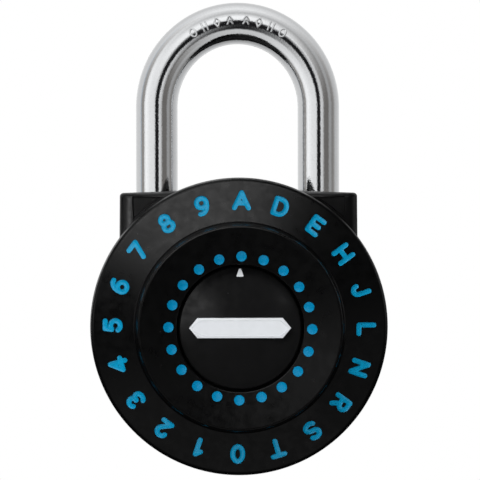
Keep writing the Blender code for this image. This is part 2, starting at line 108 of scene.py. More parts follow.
ROD_RADIUS = 3.57
SHARP = 35.0  # degrees; an edge sharper than this stays hard
FINE, ROUND = 192, 72  # faces round a wide turned piece and round a narrow one
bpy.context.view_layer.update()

Flat = tuple[float, float]
Triple = tuple[float, float, float]
Colour = tuple[float, float, float]


class Body(Enum):
    """The bodies that a piece can ride on."""

    CASE = "case"
    DIAL = "dial"
    SHACKLE = "shackle"


class Slot(Enum):
    """The record's material slots that the new pieces take their finish from."""

    COAT = "black_coat"
    PLASTIC = "black_plastic"
    BLUE = "blue_ink"
    WHITE = "white_ink"
    CHROME = "chromed_steel"
    STEEL = "plain_steel"


class Lit(Enum):
    """What a lamp falls on."""

    SATIN = "everything but the chrome"
    PAINT = "the paint alone"
    CASE = "the case alone"


# ---- node graphs ----


class Value:
    """A number socket that adds Math nodes as Python expressions use it."""

    def __init__(self, graph: "Graph", socket: NodeSocket) -> None:
        """Wrap a socket of the graph."""
        self.graph = graph
        self.socket = socket

    def __add__(self, other: "Value | float") -> "Value":
        """Return self + other."""
        return self.graph.math("ADD", self, other)

    __radd__ = __add__

    def __sub__(self, other: "Value | float") -> "Value":
        """Return self - other."""
        return self.graph.math("SUBTRACT", self, other)

    def __rsub__(self, other: float) -> "Value":
        """Return other - self."""
        return self.graph.math("SUBTRACT", other, self)

    def __mul__(self, other: "Value | float") -> "Value":
        """Return self * other."""
        return self.graph.math("MULTIPLY", self, other)

    __rmul__ = __mul__

    def __truediv__(self, other: "Value | float") -> "Value":
        """Return self / other."""
        return self.graph.math("DIVIDE", self, other)


class Graph:
    """A node tree that grows through one method for every kind of node."""

    def __init__(self, tree: NodeTree) -> None:
        """Start from an empty tree."""
        self.tree = tree
        tree.nodes.clear()

    def node(self, kind: str, settings: dict | None = None,
             inputs: dict | None = None) -> Node:
        """Add a node.

        Args:
            kind: the node's type name.
            settings: its own settings, set first; "stops" fills a colour ramp.
            inputs: values or links, by socket name or index.

        Returns:
            The new node.
        """
        made = self.tree.nodes.new(kind)
        for name, value in (settings or {}).items():
            if name == "stops":
                ramp = made.color_ramp
                while len(ramp.elements) < len(value):
                    ramp.elements.new(0.5)
                for element, (position, colour) in zip(ramp.elements, value):
                    element.position = position
                    element.color = (*colour, 1.0)
            else:
                setattr(made, name, value)
        for name, value in (inputs or {}).items():
            source = value.socket if isinstance(value, Value) else value
            if isinstance(source, NodeSocket):
                self.tree.links.new(source, made.inputs[name])
            else:
                made.inputs[name].default_value = source
        return made

    def value(self, node: Node, output: str | int = 0) -> Value:
        """Wrap one of a node's number outputs."""
        return Value(self, node.outputs[output])

    def math(self, operation: str, *terms: "Value | float") -> Value:
        """Add a Math node and return its result."""
        return self.value(self.node("ShaderNodeMath", {"operation": operation},
                                    dict(enumerate(terms))))

    def ramp(self, term: Value, low: float, high: float, start: float = 0.0,
             end: float = 1.0) -> Value:
        """Ease a value smoothly from start to end while it runs from low to high."""
        return self.value(self.node("ShaderNodeMapRange", {"interpolation_type": "SMOOTHSTEP"},
                                    {0: term, 1: low, 2: high, 3: start, 4: end}))

    def parts(self, vector: NodeSocket) -> list[Value]:
        """Split a vector into its three numbers."""
        split = self.node("ShaderNodeSeparateXYZ", inputs={0: vector})
        return [self.value(split, k) for k in range(3)]

    def vector(self, *terms: "Value | float") -> NodeSocket:
        """Join three numbers into a vector."""
        return self.node("ShaderNodeCombineXYZ", inputs=dict(enumerate(terms))).outputs[0]

    def blend(self, factor: "Value | float", first: object, second: object) -> NodeSocket:
        """Mix two colours."""
        return self.node("ShaderNodeMix", {"data_type": "RGBA"},
                         {0: factor, 6: first, 7: second}).outputs[2]


class Surface(Graph):
    """The node tree of a finish, read at Object coordinates."""

    def __init__(self, owner: Material) -> None:
        """Start from the place on the surface alone.

        Args:
            owner: the material, whose nodes are switched on.
        """
        owner.use_nodes = True
        super().__init__(owner.node_tree)
        self.place = self.node("ShaderNodeTexCoord").outputs["Object"]

    def noise(self, size: float, detail: float = 3.0,
              place: NodeSocket | None = None) -> Value:
        """Add a noise.

        Args:
            size: how wide its features are, in millimetres.
            detail: how many finer layers it has.
            place: where it is read, if not plainly on the surface.

        Returns:
            Its value, from 0 to 1.
        """
        return self.value(self.node("ShaderNodeTexNoise", inputs={
            "Vector": self.place if place is None else place, "Scale": 1.0 / (size * MM),
            "Detail": detail}))

    def from_axis(self) -> Value:
        """Return the distance from the dial's axis in metres.

        Returns:
            The distance, measured square to the viewer's line.
        """
        x, _, z = self.parts(self.place)
        z = z - AXIS_U * MM
        return self.math("SQRT", x * x + z * z)


# ---- finishes ----


@dataclass(frozen=True)
class Finish:
    """A surface finish: its colour, its gloss and how its fine grain stands.

    Sizes are in millimetres. The grain is a fine noise in the surface, the swell a wide,
    shallow one, and the mottle a soft change of colour.
    """

    name: str
    colour: Colour
    roughness: float
    metallic: float = 0.0
    grain: float = 0.12
    grain_height: float = 0.004
    swell: float = 1.6
    swell_height: float = 0.006
    mottle: float = 0.15
    uneven: float = 0.06
    specular: float = 0.5

    def material(self) -> Material:
        """Make this finish's material, or find it.

        Returns:
            The one material of this finish's name.
        """
        found = bpy.data.materials.get(self.name)
        if found:
            return found
        made = bpy.data.materials.new(self.name)
        surface = Surface(made)
        bump = surface.node("ShaderNodeBump", inputs={
            "Strength": 1.0, "Distance": 1.0, "Height": self.height(surface)})
        shader = surface.node("ShaderNodeBsdfPrincipled", inputs={
            "Metallic": self.metallic, "Specular IOR Level": self.specular,
            "Base Color": self.tint(surface), "Roughness": self.gloss(surface),
            "Normal": bump.outputs[0]})
        surface.node("ShaderNodeOutputMaterial", inputs={"Surface": shader.outputs[0]})
        return made

    def shade(self, share: float) -> tuple[float, ...]:
        """Return the colour made lighter by a share, with its alpha."""
        return (*(min(1.0, c * (1.0 + share)) for c in self.colour), 1.0)

    def height(self, surface: Surface) -> Value:
        """Return the surface's height in metres."""
        wide = surface.noise(self.swell, 1.0) * (self.swell_height * MM)
        return surface.noise(self.grain) * (self.grain_height * MM) + wide

    def tint(self, surface: Surface) -> NodeSocket:
        """Return the colour, a little darker and lighter in patches."""
        patches = surface.noise(self.swell * 1.7, 4.0)
        return surface.blend(patches, self.shade(-self.mottle), self.shade(self.mottle))

    def gloss(self, surface: Surface) -> Value:
        """Return the roughness, uneven in patches."""
        low, high = self.roughness - self.uneven, self.roughness + self.uneven
        return surface.ramp(surface.noise(self.swell * 0.8, 5.0), 0.3, 0.7, low, high)


@dataclass(frozen=True)
class MouldedPlastic(Finish):
    """Black moulded plastic with a few specks of dust and turned lines about the dial's axis."""

    line_pitch: float = 0.17
    line_height: float = 0.001
    line_inner: float = 0.0
    line_outer: float = 30.0
    dust: float = 0.25
    dust_pitch: float = 1.9
    dust_grey: float = 0.42

    def height(self, surface: Surface) -> Value:
        """Add the turned lines, which waver a little, to the plain height.

        Args:
            surface: the material's graph.

        Returns:
            The height in metres.
        """
        radius = surface.from_axis()
        waver = surface.noise(2.2, 2.0) * (0.5 * self.line_pitch * MM)
        lines = surface.math("SINE", (radius + waver) * (math.tau / (self.line_pitch * MM)))
        inner, outer, ease = self.line_inner * MM, self.line_outer * MM, 0.4 * MM
        band = surface.ramp(radius, inner, inner + ease) \
            * surface.ramp(radius, outer - ease, outer, 1.0, 0.0)
        return super().height(surface) + lines * band * (self.line_height * MM)

    def tint(self, surface: Surface) -> NodeSocket:
        """Scatter sparse pale specks over the plain colour.

        Args:
            surface: the material's graph.

        Returns:
            The colour.
        """
        cells = surface.node("ShaderNodeTexVoronoi", inputs={
            "Vector": surface.place, "Scale": 1.0 / (self.dust_pitch * MM)})
        speck = surface.ramp(surface.value(cells, "Distance"), 0.030, 0.055, 1.0, 0.0)
        chance, _, _ = surface.parts(cells.outputs["Color"])
        seen = surface.ramp(chance, 0.82, 0.95) * speck * self.dust
        return surface.blend(seen, super().tint(surface), (*[self.dust_grey] * 3, 1.0))


@dataclass(frozen=True)
class Chrome(Finish):
    """Bright chrome over polished steel: faint pebbling and fine lengthwise polish."""

    pebble: float = 0.24
    pebble_height: float = 0.0095
    polish: float = 0.16
    polish_stretch: float = 0.06
    dull: float = 0.14
    dull_grey: float = 0.30

    def height(self, surface: Surface) -> Value:
        """Lay the polish, the pebbles and the swell over each other.

        Args:
            surface: the material's graph.

        Returns:
            The height in metres.
        """
        x, y, z = surface.parts(surface.place)
        drawn = surface.vector(x, y, z * self.polish_stretch)
        polish = surface.noise(self.polish, 2.0, drawn) * (self.grain_height * MM)
        pebbles = surface.noise(self.pebble, 2.0) * (self.pebble_height * MM)
        return polish + pebbles + surface.noise(self.swell, 1.0) * (self.swell_height * MM)

    def tint(self, surface: Surface) -> NodeSocket:
        """Return the colour with fine dull specks."""
        specks = surface.ramp(surface.noise(self.pebble * 0.8, 4.0), 0.42, 0.66) * self.dull
        return surface.blend(specks, super().tint(surface), (*[self.dull_grey] * 3, 1.0))


@dataclass(frozen=True)
class MachinedMetal(Finish):
    """Turned metal, with fine lines about the dial's axis."""

    line_pitch: float = 0.11
    line_height: float = 0.0012

    def height(self, surface: Surface) -> Value:
        """Return the surface's height in metres."""
        lines = surface.math("SINE", surface.from_axis() * (math.tau / (self.line_pitch * MM)))
        return super().height(surface) + lines * (self.line_height * MM)


BLACK_CASE = Finish("satin_black_coat", (0.0042, 0.0042, 0.0046), 0.40, grain=0.10,
                    grain_height=0.0022, swell=0.9, swell_height=0.0035)
BLACK_DIAL = MouldedPlastic("moulded_black_dial", (0.0040, 0.0041, 0.0043), 0.33, grain=0.11,
                            grain_height=0.0026, swell_height=0.004, line_height=0.0011,
                            line_inner=11.2, line_outer=16.0)
BLACK_CAP = MouldedPlastic("moulded_black_cap", (0.0300, 0.0300, 0.0306), 0.21, grain=0.10,
                           grain_height=0.0026, line_pitch=0.22, line_height=0.0007,
                           line_inner=0.5, line_outer=9.4)
BLUE_PAINT = Finish("blue_paint_fill", (0.002, 0.232, 0.420), 0.27, grain=0.16,
                    grain_height=0.006, swell=0.55, swell_height=0.020, mottle=0.12,
                    specular=0.12)
# The dots take the letters' blue paint made darker. The darkness is painted shade that dims them
# beside the letters, and the slightly bluer tint is their own.
BLUE_DOTS_PAINTED_SHADE = replace(BLUE_PAINT, name="blue_paint_dots", colour=(0.001, 0.175, 0.345),
                    specular=0.05)
WHITE_PAINT = Finish("white_paint", (0.58, 0.60, 0.625), 0.42, grain=0.14, grain_height=0.004,
                     swell=0.7, swell_height=0.01, mottle=0.05)
CHROME = Chrome("polished_chrome", (0.68, 0.69, 0.70), 0.05, 1.0, grain_height=0.0012,
                swell=2.6, swell_height=0.004, mottle=0.03, uneven=0.03)
STEEL = Finish("bright_plain_steel", (0.50, 0.50, 0.51), 0.34, 1.0, grain=0.08,
               grain_height=0.003, mottle=0.10)

CARRIED_OVER = {
    "zinc_casting": Finish("cast_zinc", (0.43, 0.43, 0.42), 0.52, 1.0, grain=0.22,
                           grain_height=0.016, mottle=0.22, uneven=0.10),
    "brass": MachinedMetal("turned_brass", (0.62, 0.44, 0.17), 0.33, 1.0, mottle=0.10),
    "spring_steel": Finish("blued_spring_steel", (0.28, 0.29, 0.32), 0.30, 1.0, grain=0.07,
                           grain_height=0.003, mottle=0.20),
    "plain_steel": STEEL,
    "acetal": Finish("white_acetal", (0.72, 0.71, 0.66), 0.55, grain=0.15, grain_height=0.005,
                     mottle=0.06),
}


# ---- solids ----


def arc(x: float, u: float, radius: float, start: float, end: float, steps: int) -> list[Flat]:
    """Return points along an arc about (x, u), its angles in degrees."""
    turns = [math.radians(start + (end - start) * k / steps) for k in range(steps + 1)]
    return [(x + radius * math.cos(a), u + radius * math.sin(a)) for a in turns]


def circle(x: float, u: float, radius: float, steps: int) -> list[Flat]:
    """Return points round a whole circle."""
    return arc(x, u, radius, 0.0, 360.0, steps)[:-1]


def bend(first: Flat, corner: Flat, last: Flat, steps: int) -> list[Flat]:
    """Round a corner with a quadratic curve.

    Args:
        first: where the curve starts.
        corner: the corner that it rounds.
        last: where it ends.
        steps: how many pieces it has.

    Returns:
        Its points, both ends among them.
    """
    points = []
    for k in range(steps + 1):
        t = k / steps
        weights = ((1 - t) ** 2, 2 * t * (1 - t), t * t)
        points.append(tuple(sum(w * p[i] for w, p in zip(weights, (first, corner, last)))
                            for i in range(2)))
    return points


def grown(outline: Sequence[Flat], distance: float) -> list[Flat]:
    """Move an outline outwards, its corners mitred.

    Args:
        outline: the points, anticlockwise.
        distance: how far it moves.

    Returns:
        The moved points.
    """
    moved = []
    count = len(outline)
    for k in range(count):
        before, here, after = (Vector(outline[(k + s) % count]) for s in (-1, 0, 1))
        one, two = (here - before).normalized(), (after - here).normalized()
        normal = Vector((one.y, -one.x)) + Vector((two.y, -two.x))
        normal *= 2.0 / max(normal.length_squared, 0.5)
        moved.append(tuple(here + normal * distance))
    return moved


def deep(outline: Iterable[Flat], depth: float) -> list[Triple]:
    """Give every point of an outline the same depth."""
    return [(x, u, depth) for x, u in outline]


def fillet(steps: int) -> list[Flat]:
    """Return (inset, rise) shares along a quarter round, from its foot to its full width."""
    turns = [math.radians(90.0 * k / steps) for k in range(steps + 1)]
    return [(1.0 - math.sin(a), 1.0 - math.cos(a)) for a in turns]


def added(name: str, data: ID) -> Object:
    """Put a new object into the scene.

    Args:
        name: its name.
        data: its mesh, lamp or camera.

    Returns:
        The object, at the origin.
    """
    thing = bpy.data.objects.new(name, data)
    bpy.context.scene.collection.objects.link(thing)
    return thing


@contextmanager
def gathered(name: str, pieces: Iterable[Object]) -> Iterator[Collection]:
    """Hold loose pieces in a collection while a modifier uses them, then remove them.

    Args:
        name: the collection's name.
        pieces: the pieces, in order.

    Yields:
        The collection.
    """
    pile = bpy.data.collections.new(name)
    for piece in pieces:
        pile.objects.link(piece)
    yield pile
    for piece in list(pile.objects):
        bpy.data.objects.remove(piece, do_unlink=True)
    bpy.data.collections.remove(pile)


@dataclass
class Solid:
    """A closed mesh in front-view millimetres."""

    points: list[Triple]
    faces: list[Sequence[int]]

    @classmethod
    def lofted(cls, rings: Sequence[Sequence[Triple]]) -> "Solid":
        """Bridge rings of one length and cap both ends.

        Args:
            rings: the rings' points, in order.

        Returns:
            The closed solid.
        """
        size = len(rings[0])
        faces: list[Sequence[int]] = []
        for r in range(len(rings) - 1):
            low, high = r * size, (r + 1) * size
            for k in range(size):
                n = (k + 1) % size
                faces.append((low + k, low + n, high + n, high + k))
        faces.append(tuple(range(size))[::-1])
        faces.append(tuple(range((len(rings) - 1) * size, len(rings) * size)))
        return cls([p for ring in rings for p in ring], faces)

    @classmethod
    def prism(cls, outline: Sequence[Flat], back: float, front: float) -> "Solid":
        """Extrude an outline from one depth to another."""
        return cls.lofted([deep(outline, back), deep(outline, front)])

    @classmethod
    def upright(cls, x: float, radius: float, low: float, high: float) -> "Solid":
        """Make an upright cylinder on a leg's axis."""
        ring = circle(x, 0.0, radius, ROUND)
        return cls.lofted([[(cx, u, d) for cx, d in ring] for u in (low, high)])

    @classmethod
    def turned(cls, profile: Sequence[Flat], steps: int, u: float = AXIS_U) -> "Solid":
        """Turn a profile about the viewer's axis.

        Args:
            profile: (radius, depth) points. A profile that starts on the axis closes there;
                any other one is a closed ring.
            steps: how many faces go round.
            u: the axis's height.

        Returns:
            The closed solid.
        """
        rows = len(profile)
        points = [(radius * math.cos(math.tau * k / steps),
                   u + radius * math.sin(math.tau * k / steps), depth)
                  for radius, depth in profile for k in range(steps)]
        faces: list[Sequence[int]] = []
        for r in range(rows if profile[0][0] > 0.0 else rows - 1):
            low, high = r * steps, ((r + 1) % rows) * steps
            for k in range(steps):
                n = (k + 1) % steps
                faces.append((low + k, low + n, high + n, high + k))
        return cls(points, faces)

    def to_object(self, name: str, angle: float = SHARP) -> Object:
        """Make an object of the solid, placed in the world.

        Args:
            name: its name.
            angle: its edges are smooth up to this many degrees.

        Returns:
            The object.
        """
        mesh = bpy.data.meshes.new(name)
        mesh.from_pydata([(x * MM, -d * MM, u * MM) for x, u, d in self.points], [], self.faces)
        thing = added(name, mesh)
        close_up(thing, angle)
        return thing


def close_up(thing: Object, angle: float = SHARP) -> None:
    """Merge doubles, turn the faces outwards and shade smooth.

    Args:
        thing: the object, whose mesh is changed.
        angle: its edges are smooth up to this many degrees.
    """
    work = bmesh.new()
    work.from_mesh(thing.data)
    bmesh.ops.remove_doubles(work, verts=work.verts, dist=1e-7)
    bmesh.ops.dissolve_degenerate(work, edges=work.edges, dist=1e-8)
    bmesh.ops.recalc_face_normals(work, faces=work.faces)
    work.to_mesh(thing.data)
    work.free()
    thing.data.shade_smooth()
    thing.data.set_sharp_from_angle(angle=math.radians(angle))


def settle(thing: Object) -> None:
    """Turn what the object's modifiers make into its plain mesh.

    Args:
        thing: the object, whose modifiers are removed.
    """
    graph = bpy.context.evaluated_depsgraph_get()
    mesh = bpy.data.meshes.new_from_object(thing.evaluated_get(graph), depsgraph=graph)
    old = thing.data
    thing.modifiers.clear()
    thing.data = mesh
    bpy.data.meshes.remove(old)
    mesh.name = thing.name


def carve(thing: Object, tools: Iterable[Object],
          angle: float = SHARP) -> None:
    """Cut tools out of an object with one exact Boolean.

    Args:
        thing: the object to cut.
        tools: the closed solids to take away, which are removed.
        angle: the result is smooth up to this many degrees.
    """
    with gathered(thing.name + "_tools", tools) as pile:
        step = thing.modifiers.new("carve", "BOOLEAN")
        step.operation, step.solver = "DIFFERENCE", "EXACT"
        step.operand_type, step.collection = "COLLECTION", pile
        settle(thing)
    close_up(thing, angle)


def fit(thing: Object, finish: Finish, body: Body, slot: Slot, *nodes: str) -> None:
    """Finish a piece and hang it on its body.

    Args:
        thing: the piece, in place.
        finish: its surface finish.
        body: the body that it rides on.
        slot: the record's material slot.
        nodes: the CAD nodes that it stands for.
    """
    thing.data.materials.clear()
    thing.data.materials.append(finish.material())
    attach(thing, body.value)
    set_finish(thing, slot.value)
    if nodes:
        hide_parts(*nodes)
    LOG.info("%s on %s: %d faces, %s", thing.name, body.value, len(thing.data.polygons),
             finish.name)


# ---- geometry node trees ----


class Tree(Graph):
    """A geometry node tree with named inputs, run once on an empty mesh object."""

    def __init__(self, name: str, inputs: dict[str, str]) -> None:
        """Open the tree.

        Args:
            name: the tree's name.
            inputs: each input's name and socket type, such as "Float".
        """
        super().__init__(bpy.data.node_groups.new(name, "GeometryNodeTree"))
        face = self.tree.interface
        for label, kind in inputs.items():
            face.new_socket(name=label, in_out="INPUT", socket_type="NodeSocket" + kind)
        face.new_socket(name="Geometry", in_out="OUTPUT", socket_type="NodeSocketGeometry")
        self.entry = self.node("NodeGroupInput")

    def given(self, name: str) -> Value:
        """Return one of the tree's inputs."""
        return self.value(self.entry, name)

    def index(self) -> Value:
        """Return each point's number."""
        return self.value(self.node("GeometryNodeInputIndex"))

    def moved(self, geometry: NodeSocket,
              place: NodeSocket) -> NodeSocket:
        """Set the place of every point of the geometry."""
        return self.node("GeometryNodeSetPosition", inputs={
            0: geometry, "Position": place}).outputs[0]

    def scattered(self, spot: NodeSocket,
                  turn: "NodeSocket | Triple" = (0.0, 0.0, 0.0)
                  ) -> tuple[NodeSocket, list[Value]]:
        """Set the tree's pieces one after another on its count of points.

        Args:
            spot: each point's place.
            turn: how the piece there is turned.

        Returns:
            The real geometry, and the three numbers of its points' places.
        """
        points = self.node("GeometryNodePoints", inputs={
            "Count": self.given("Count"), "Position": spot})
        pieces = self.node("GeometryNodeCollectionInfo", inputs={
            "Collection": self.entry.outputs["Pieces"], 1: True, 2: True})
        placed = self.node("GeometryNodeInstanceOnPoints", inputs={
            "Points": points.outputs[0], "Instance": pieces.outputs[0], "Pick Instance": True,
            "Instance Index": self.index(), "Rotation": turn})
        real = self.node("GeometryNodeRealizeInstances", inputs={0: placed.outputs[0]})
        return real.outputs[0], self.parts(self.node("GeometryNodeInputPosition").outputs[0])

    def end(self, geometry: NodeSocket) -> "Tree":
        """Close the tree: realize the instances and set the material.

        Args:
            geometry: what the tree has made.

        Returns:
            The tree itself.
        """
        real = self.node("GeometryNodeRealizeInstances", inputs={0: geometry})
        smooth = self.node("GeometryNodeSetShadeSmooth", inputs={0: real.outputs[0]})
        dressed = self.node("GeometryNodeSetMaterial", inputs={
            0: smooth.outputs[0], "Material": self.entry.outputs["Finish"]})
        self.node("NodeGroupOutput", inputs={0: dressed.outputs[0]})
        return self

    def grow(self, name: str, values: dict[str, object]) -> Object:
        """Run the tree and keep its result as a plain mesh.

        Args:
            name: the new object's name.
            values: the value of each named input.

        Returns:
            The object, with no modifier left on it.
        """
        thing = added(name, bpy.data.meshes.new(name))
        step = thing.modifiers.new("grow", "NODES")
        step.node_group = self.tree
        for item in self.tree.interface.items_tree:
            if item.in_out == "INPUT":
                step[item.identifier] = values[item.name]
        settle(thing)
        return thing


def place_from_front(thing: Object, u: float) -> None:
    """Stand a mesh that was drawn flat (x, u, depth) into the world about the height u."""
    thing.data.transform(Matrix.Translation((0.0, 0.0, u * MM))
                         @ Matrix.Rotation(math.radians(90.0), 4, "X"))


def ring_tree() -> Tree:
    """Build the tree that sets pieces round the dial and lays them on its sloping face.

    Returns:
        The finished tree.
    """
    tree = Tree("pieces_round_the_dial", {
        "Pieces": "Collection", "Count": "Int", "Radius": "Float", "Turn": "Float",
        "Depth": "Float", "Slope": "Float", "Finish": "Material"})
    angle = tree.index() / tree.given("Count") * math.tau + tree.given("Turn")
    radius = tree.given("Radius")
    spot = tree.vector(tree.math("SINE", angle) * radius, tree.math("COSINE", angle) * radius, 0.0)
    turn = tree.node("FunctionNodeEulerToRotation", inputs={
        0: tree.vector(0.0, 0.0, angle * -1.0)})
    ring, (x, y, z) = tree.scattered(spot, turn.outputs[0])
    out = tree.math("SQRT", x * x + y * y) - radius
    rise = z + tree.given("Depth") + out * tree.given("Slope")
    return tree.end(tree.moved(ring, tree.vector(x, y, rise)))


def bow_tree() -> Tree:
    """Build the tree that sweeps a round rod down one leg, over the crown and down the other.

    Returns:
        The finished tree.
    """
    tree = Tree("bent_rod", {
        "Rod radius": "Float", "Leg offset": "Float", "Crown rise": "Float",
        "Springing": "Float", "Toe length": "Float", "Heel length": "Float",
        "Steps": "Int", "Sides": "Int", "Finish": "Material"})
    steps = tree.given("Steps")
    line = tree.node("GeometryNodeCurvePrimitiveLine")
    path = tree.node("GeometryNodeResampleCurve", inputs={0: line.outputs[0], "Count": steps})
    share = tree.index() / (steps - 1.0)
    leg_share = 0.22
    toe = tree.math("MAXIMUM", (leg_share - share) / leg_share, 0.0)
    heel = tree.math("MAXIMUM", (share - (1.0 - leg_share)) / leg_share, 0.0)
    sweep = tree.math("MINIMUM", tree.math("MAXIMUM", (share - leg_share)
                                           / (1.0 - 2.0 * leg_share), 0.0), 1.0) * math.pi
    toe_run, heel_run = toe * tree.given("Toe length"), heel * tree.given("Heel length")
    x = tree.math("COSINE", sweep) * tree.given("Leg offset")
    z = tree.given("Springing") + tree.math("SINE", sweep) * tree.given("Crown rise") \
        - toe_run - heel_run
    bent = tree.moved(path.outputs[0], tree.vector(x, 0.0, z))
    to_end = tree.math("MINIMUM", tree.given("Toe length") - toe_run,
                       tree.given("Heel length") - heel_run)
    taper = tree.ramp(to_end, -0.3 * MM, 0.9 * MM, 0.62, 1.0)
    ring = tree.node("GeometryNodeCurvePrimitiveCircle", inputs={
        "Resolution": tree.given("Sides"), "Radius": tree.given("Rod radius")})
    tube = tree.node("GeometryNodeCurveToMesh", inputs={
        0: bent, 1: ring.outputs[0], "Scale": taper, "Fill Caps": True})
    return tree.end(tube.outputs[0])


def crown_marks_tree() -> Tree:
    """Build the tree that wraps a row of raised marks on the front of the shackle's crown.

    Returns:
        The finished tree.
    """
    tree = Tree("marks_on_the_crown", {
        "Pieces": "Collection", "Count": "Int", "Pitch": "Float", "Middle gap": "Float",
        "Rod radius": "Float", "Leg offset": "Float", "Crown rise": "Float",
        "Springing": "Float", "Lean": "Float", "Finish": "Material"})
    step = tree.index() - (tree.given("Count") - 1.0) / 2.0
    along = step * tree.given("Pitch") + tree.math("SIGN", step) * tree.given("Middle gap") * 0.5
    row, (x, y, z) = tree.scattered(tree.vector(along, 0.0, 0.0))
    across, rise, rod = tree.given("Leg offset"), tree.given("Crown rise"), tree.given("Rod radius")
    turn = x / (across + 0.35 * rod)
    sine, cosine = tree.math("SINE", turn), tree.math("COSINE", turn)
    normal_x, normal_z = sine * rise, cosine * across
    length = tree.math("SQRT", normal_x * normal_x + normal_z * normal_z)
    lean = y / rod + tree.given("Lean")
    out = (rod + z) * tree.math("SINE", lean)
    front = (rod + z) * tree.math("COSINE", lean)
    place = tree.vector(sine * across + normal_x / length * out, front * -1.0,
                        tree.given("Springing") + cosine * rise + normal_z / length * out)
    return tree.end(tree.moved(row, place))


# ---- drawn characters and marks ----


@dataclass(frozen=True)
class Stroked:
    """A shape drawn with round-ended strokes, in millimetres about its own centre."""

    lines: tuple[tuple[Flat, ...], ...]
    width: float

    @classmethod
    def drawn(cls, strokes: Sequence[Sequence[tuple]], scale: float, width: float) -> "Stroked":
        """Scale strokes of points and arcs.

        Args:
            strokes: each a list of points (x, y) and arcs (x, y, rx, ry, start, end).
            scale: millimetres for one unit.
            width: the strokes' width in millimetres.

        Returns:
            The shape with every arc cut into short lines.
        """
        lines = []
        for stroke in strokes:
            line: list[Flat] = []
            for item in stroke:
                if len(item) == 2:
                    line.append(item)
                    continue
                x, y, rx, ry, start, end = item
                line += [(x + rx * a, y + ry * b) for a, b in
                         arc(0.0, 0.0, 1.0, start, end, max(4, int(abs(end - start) / 18)))]
            line = [p for k, p in enumerate(line) if k == 0 or math.dist(p, line[k - 1]) > 1e-6]
            lines.append(tuple((px * scale, py * scale) for px, py in line))
        return cls(tuple(lines), width)

    def pairs(self) -> list[tuple[Vector, Vector]]:
        """Return every straight piece of the strokes."""
        return [(Vector(a), Vector(b)) for line in self.lines for a, b in zip(line, line[1:])]

    def spread(self, extra: float = 0.0) -> tuple[list[Vector], list[tuple[int, ...]]]:
        """Return the inked area as a flat triangle mesh.

        Args:
            extra: how far the area reaches past the strokes' own edge.

        Returns:
            Its points and its triangles.
        """
        reach = self.width / 2 + extra
        points: list[Vector] = []
        faces: list[list[int]] = []
        edges: list[tuple[int, int]] = []
        for a, b in self.pairs():
            heading = math.degrees(math.atan2(b.y - a.y, b.x - a.x))
            ring = arc(b.x, b.y, reach, heading - 90, heading + 90, 6) \
                + arc(a.x, a.y, reach, heading + 90, heading + 270, 6)
            faces.append(list(range(len(points), len(points) + len(ring))))
            points += [Vector(p) for p in ring]
            if extra == 0.0:
                edges.append((len(points), len(points) + 1))
                points += [a, b]
        flat, _, cells, *_ = delaunay_2d_cdt(points, edges, faces, 0, 1e-5, True)
        inked = [tuple(f) for f in cells
                 if self.away(sum((flat[k] for k in f), Vector((0.0, 0.0))) / 3.0) < reach]
        return flat, inked

    def away(self, point: Vector) -> float:
        """Measure how far a point is from the strokes.

        Args:
            point: the point, in the drawing's plane.

        Returns:
            The distance to the nearest stroke's middle line.
        """
        best = 1e9
        for a, b in self.pairs():
            run = b - a
            t = max(0.0, min(1.0, (point - a).dot(run) / max(run.length_squared, 1e-9)))
            best = min(best, (point - a - run * t).length)
        return best

    def solid(self, name: str, bottom: float, top: Callable[[float], float],
              extra: float = 0.0) -> Object:
        """Make a closed solid of the inked area, flat in its own plane.

        Args:
            name: the object's name.
            bottom: the height of its underside.
            top: the height of its upper side at a distance from the strokes' middle.
            extra: how far it reaches past the strokes' edge.

        Returns:
            The object, in metres, not yet placed.
        """
        flat, triangles = self.spread(extra)
        used = sorted({k for f in triangles for k in f})
        order = {old: new for new, old in enumerate(used)}
        count = len(used)
        upper = [(*flat[k], top(self.away(flat[k]))) for k in used]
        lower = [(x, y, bottom) for x, y, _ in upper]
        faces: list[tuple[int, ...]] = []
        open_edges: dict[tuple[int, int], None] = {}
        for face in triangles:
            here = [order[k] for k in face]
            faces.append(tuple(here))
            faces.append(tuple(count + k for k in reversed(here)))
            for a, b in zip(here, here[1:] + here[:1]):
                if (b, a) in open_edges:
                    del open_edges[(b, a)]
                else:
                    open_edges[(a, b)] = None
        faces += [(b, a, count + a, count + b) for a, b in open_edges]
        mesh = bpy.data.meshes.new(name)
        mesh.from_pydata([tuple(c * MM for c in p) for p in upper + lower], [], faces)
        thing = bpy.data.objects.new(name, mesh)
        close_up(thing, 50.0)
        return thing


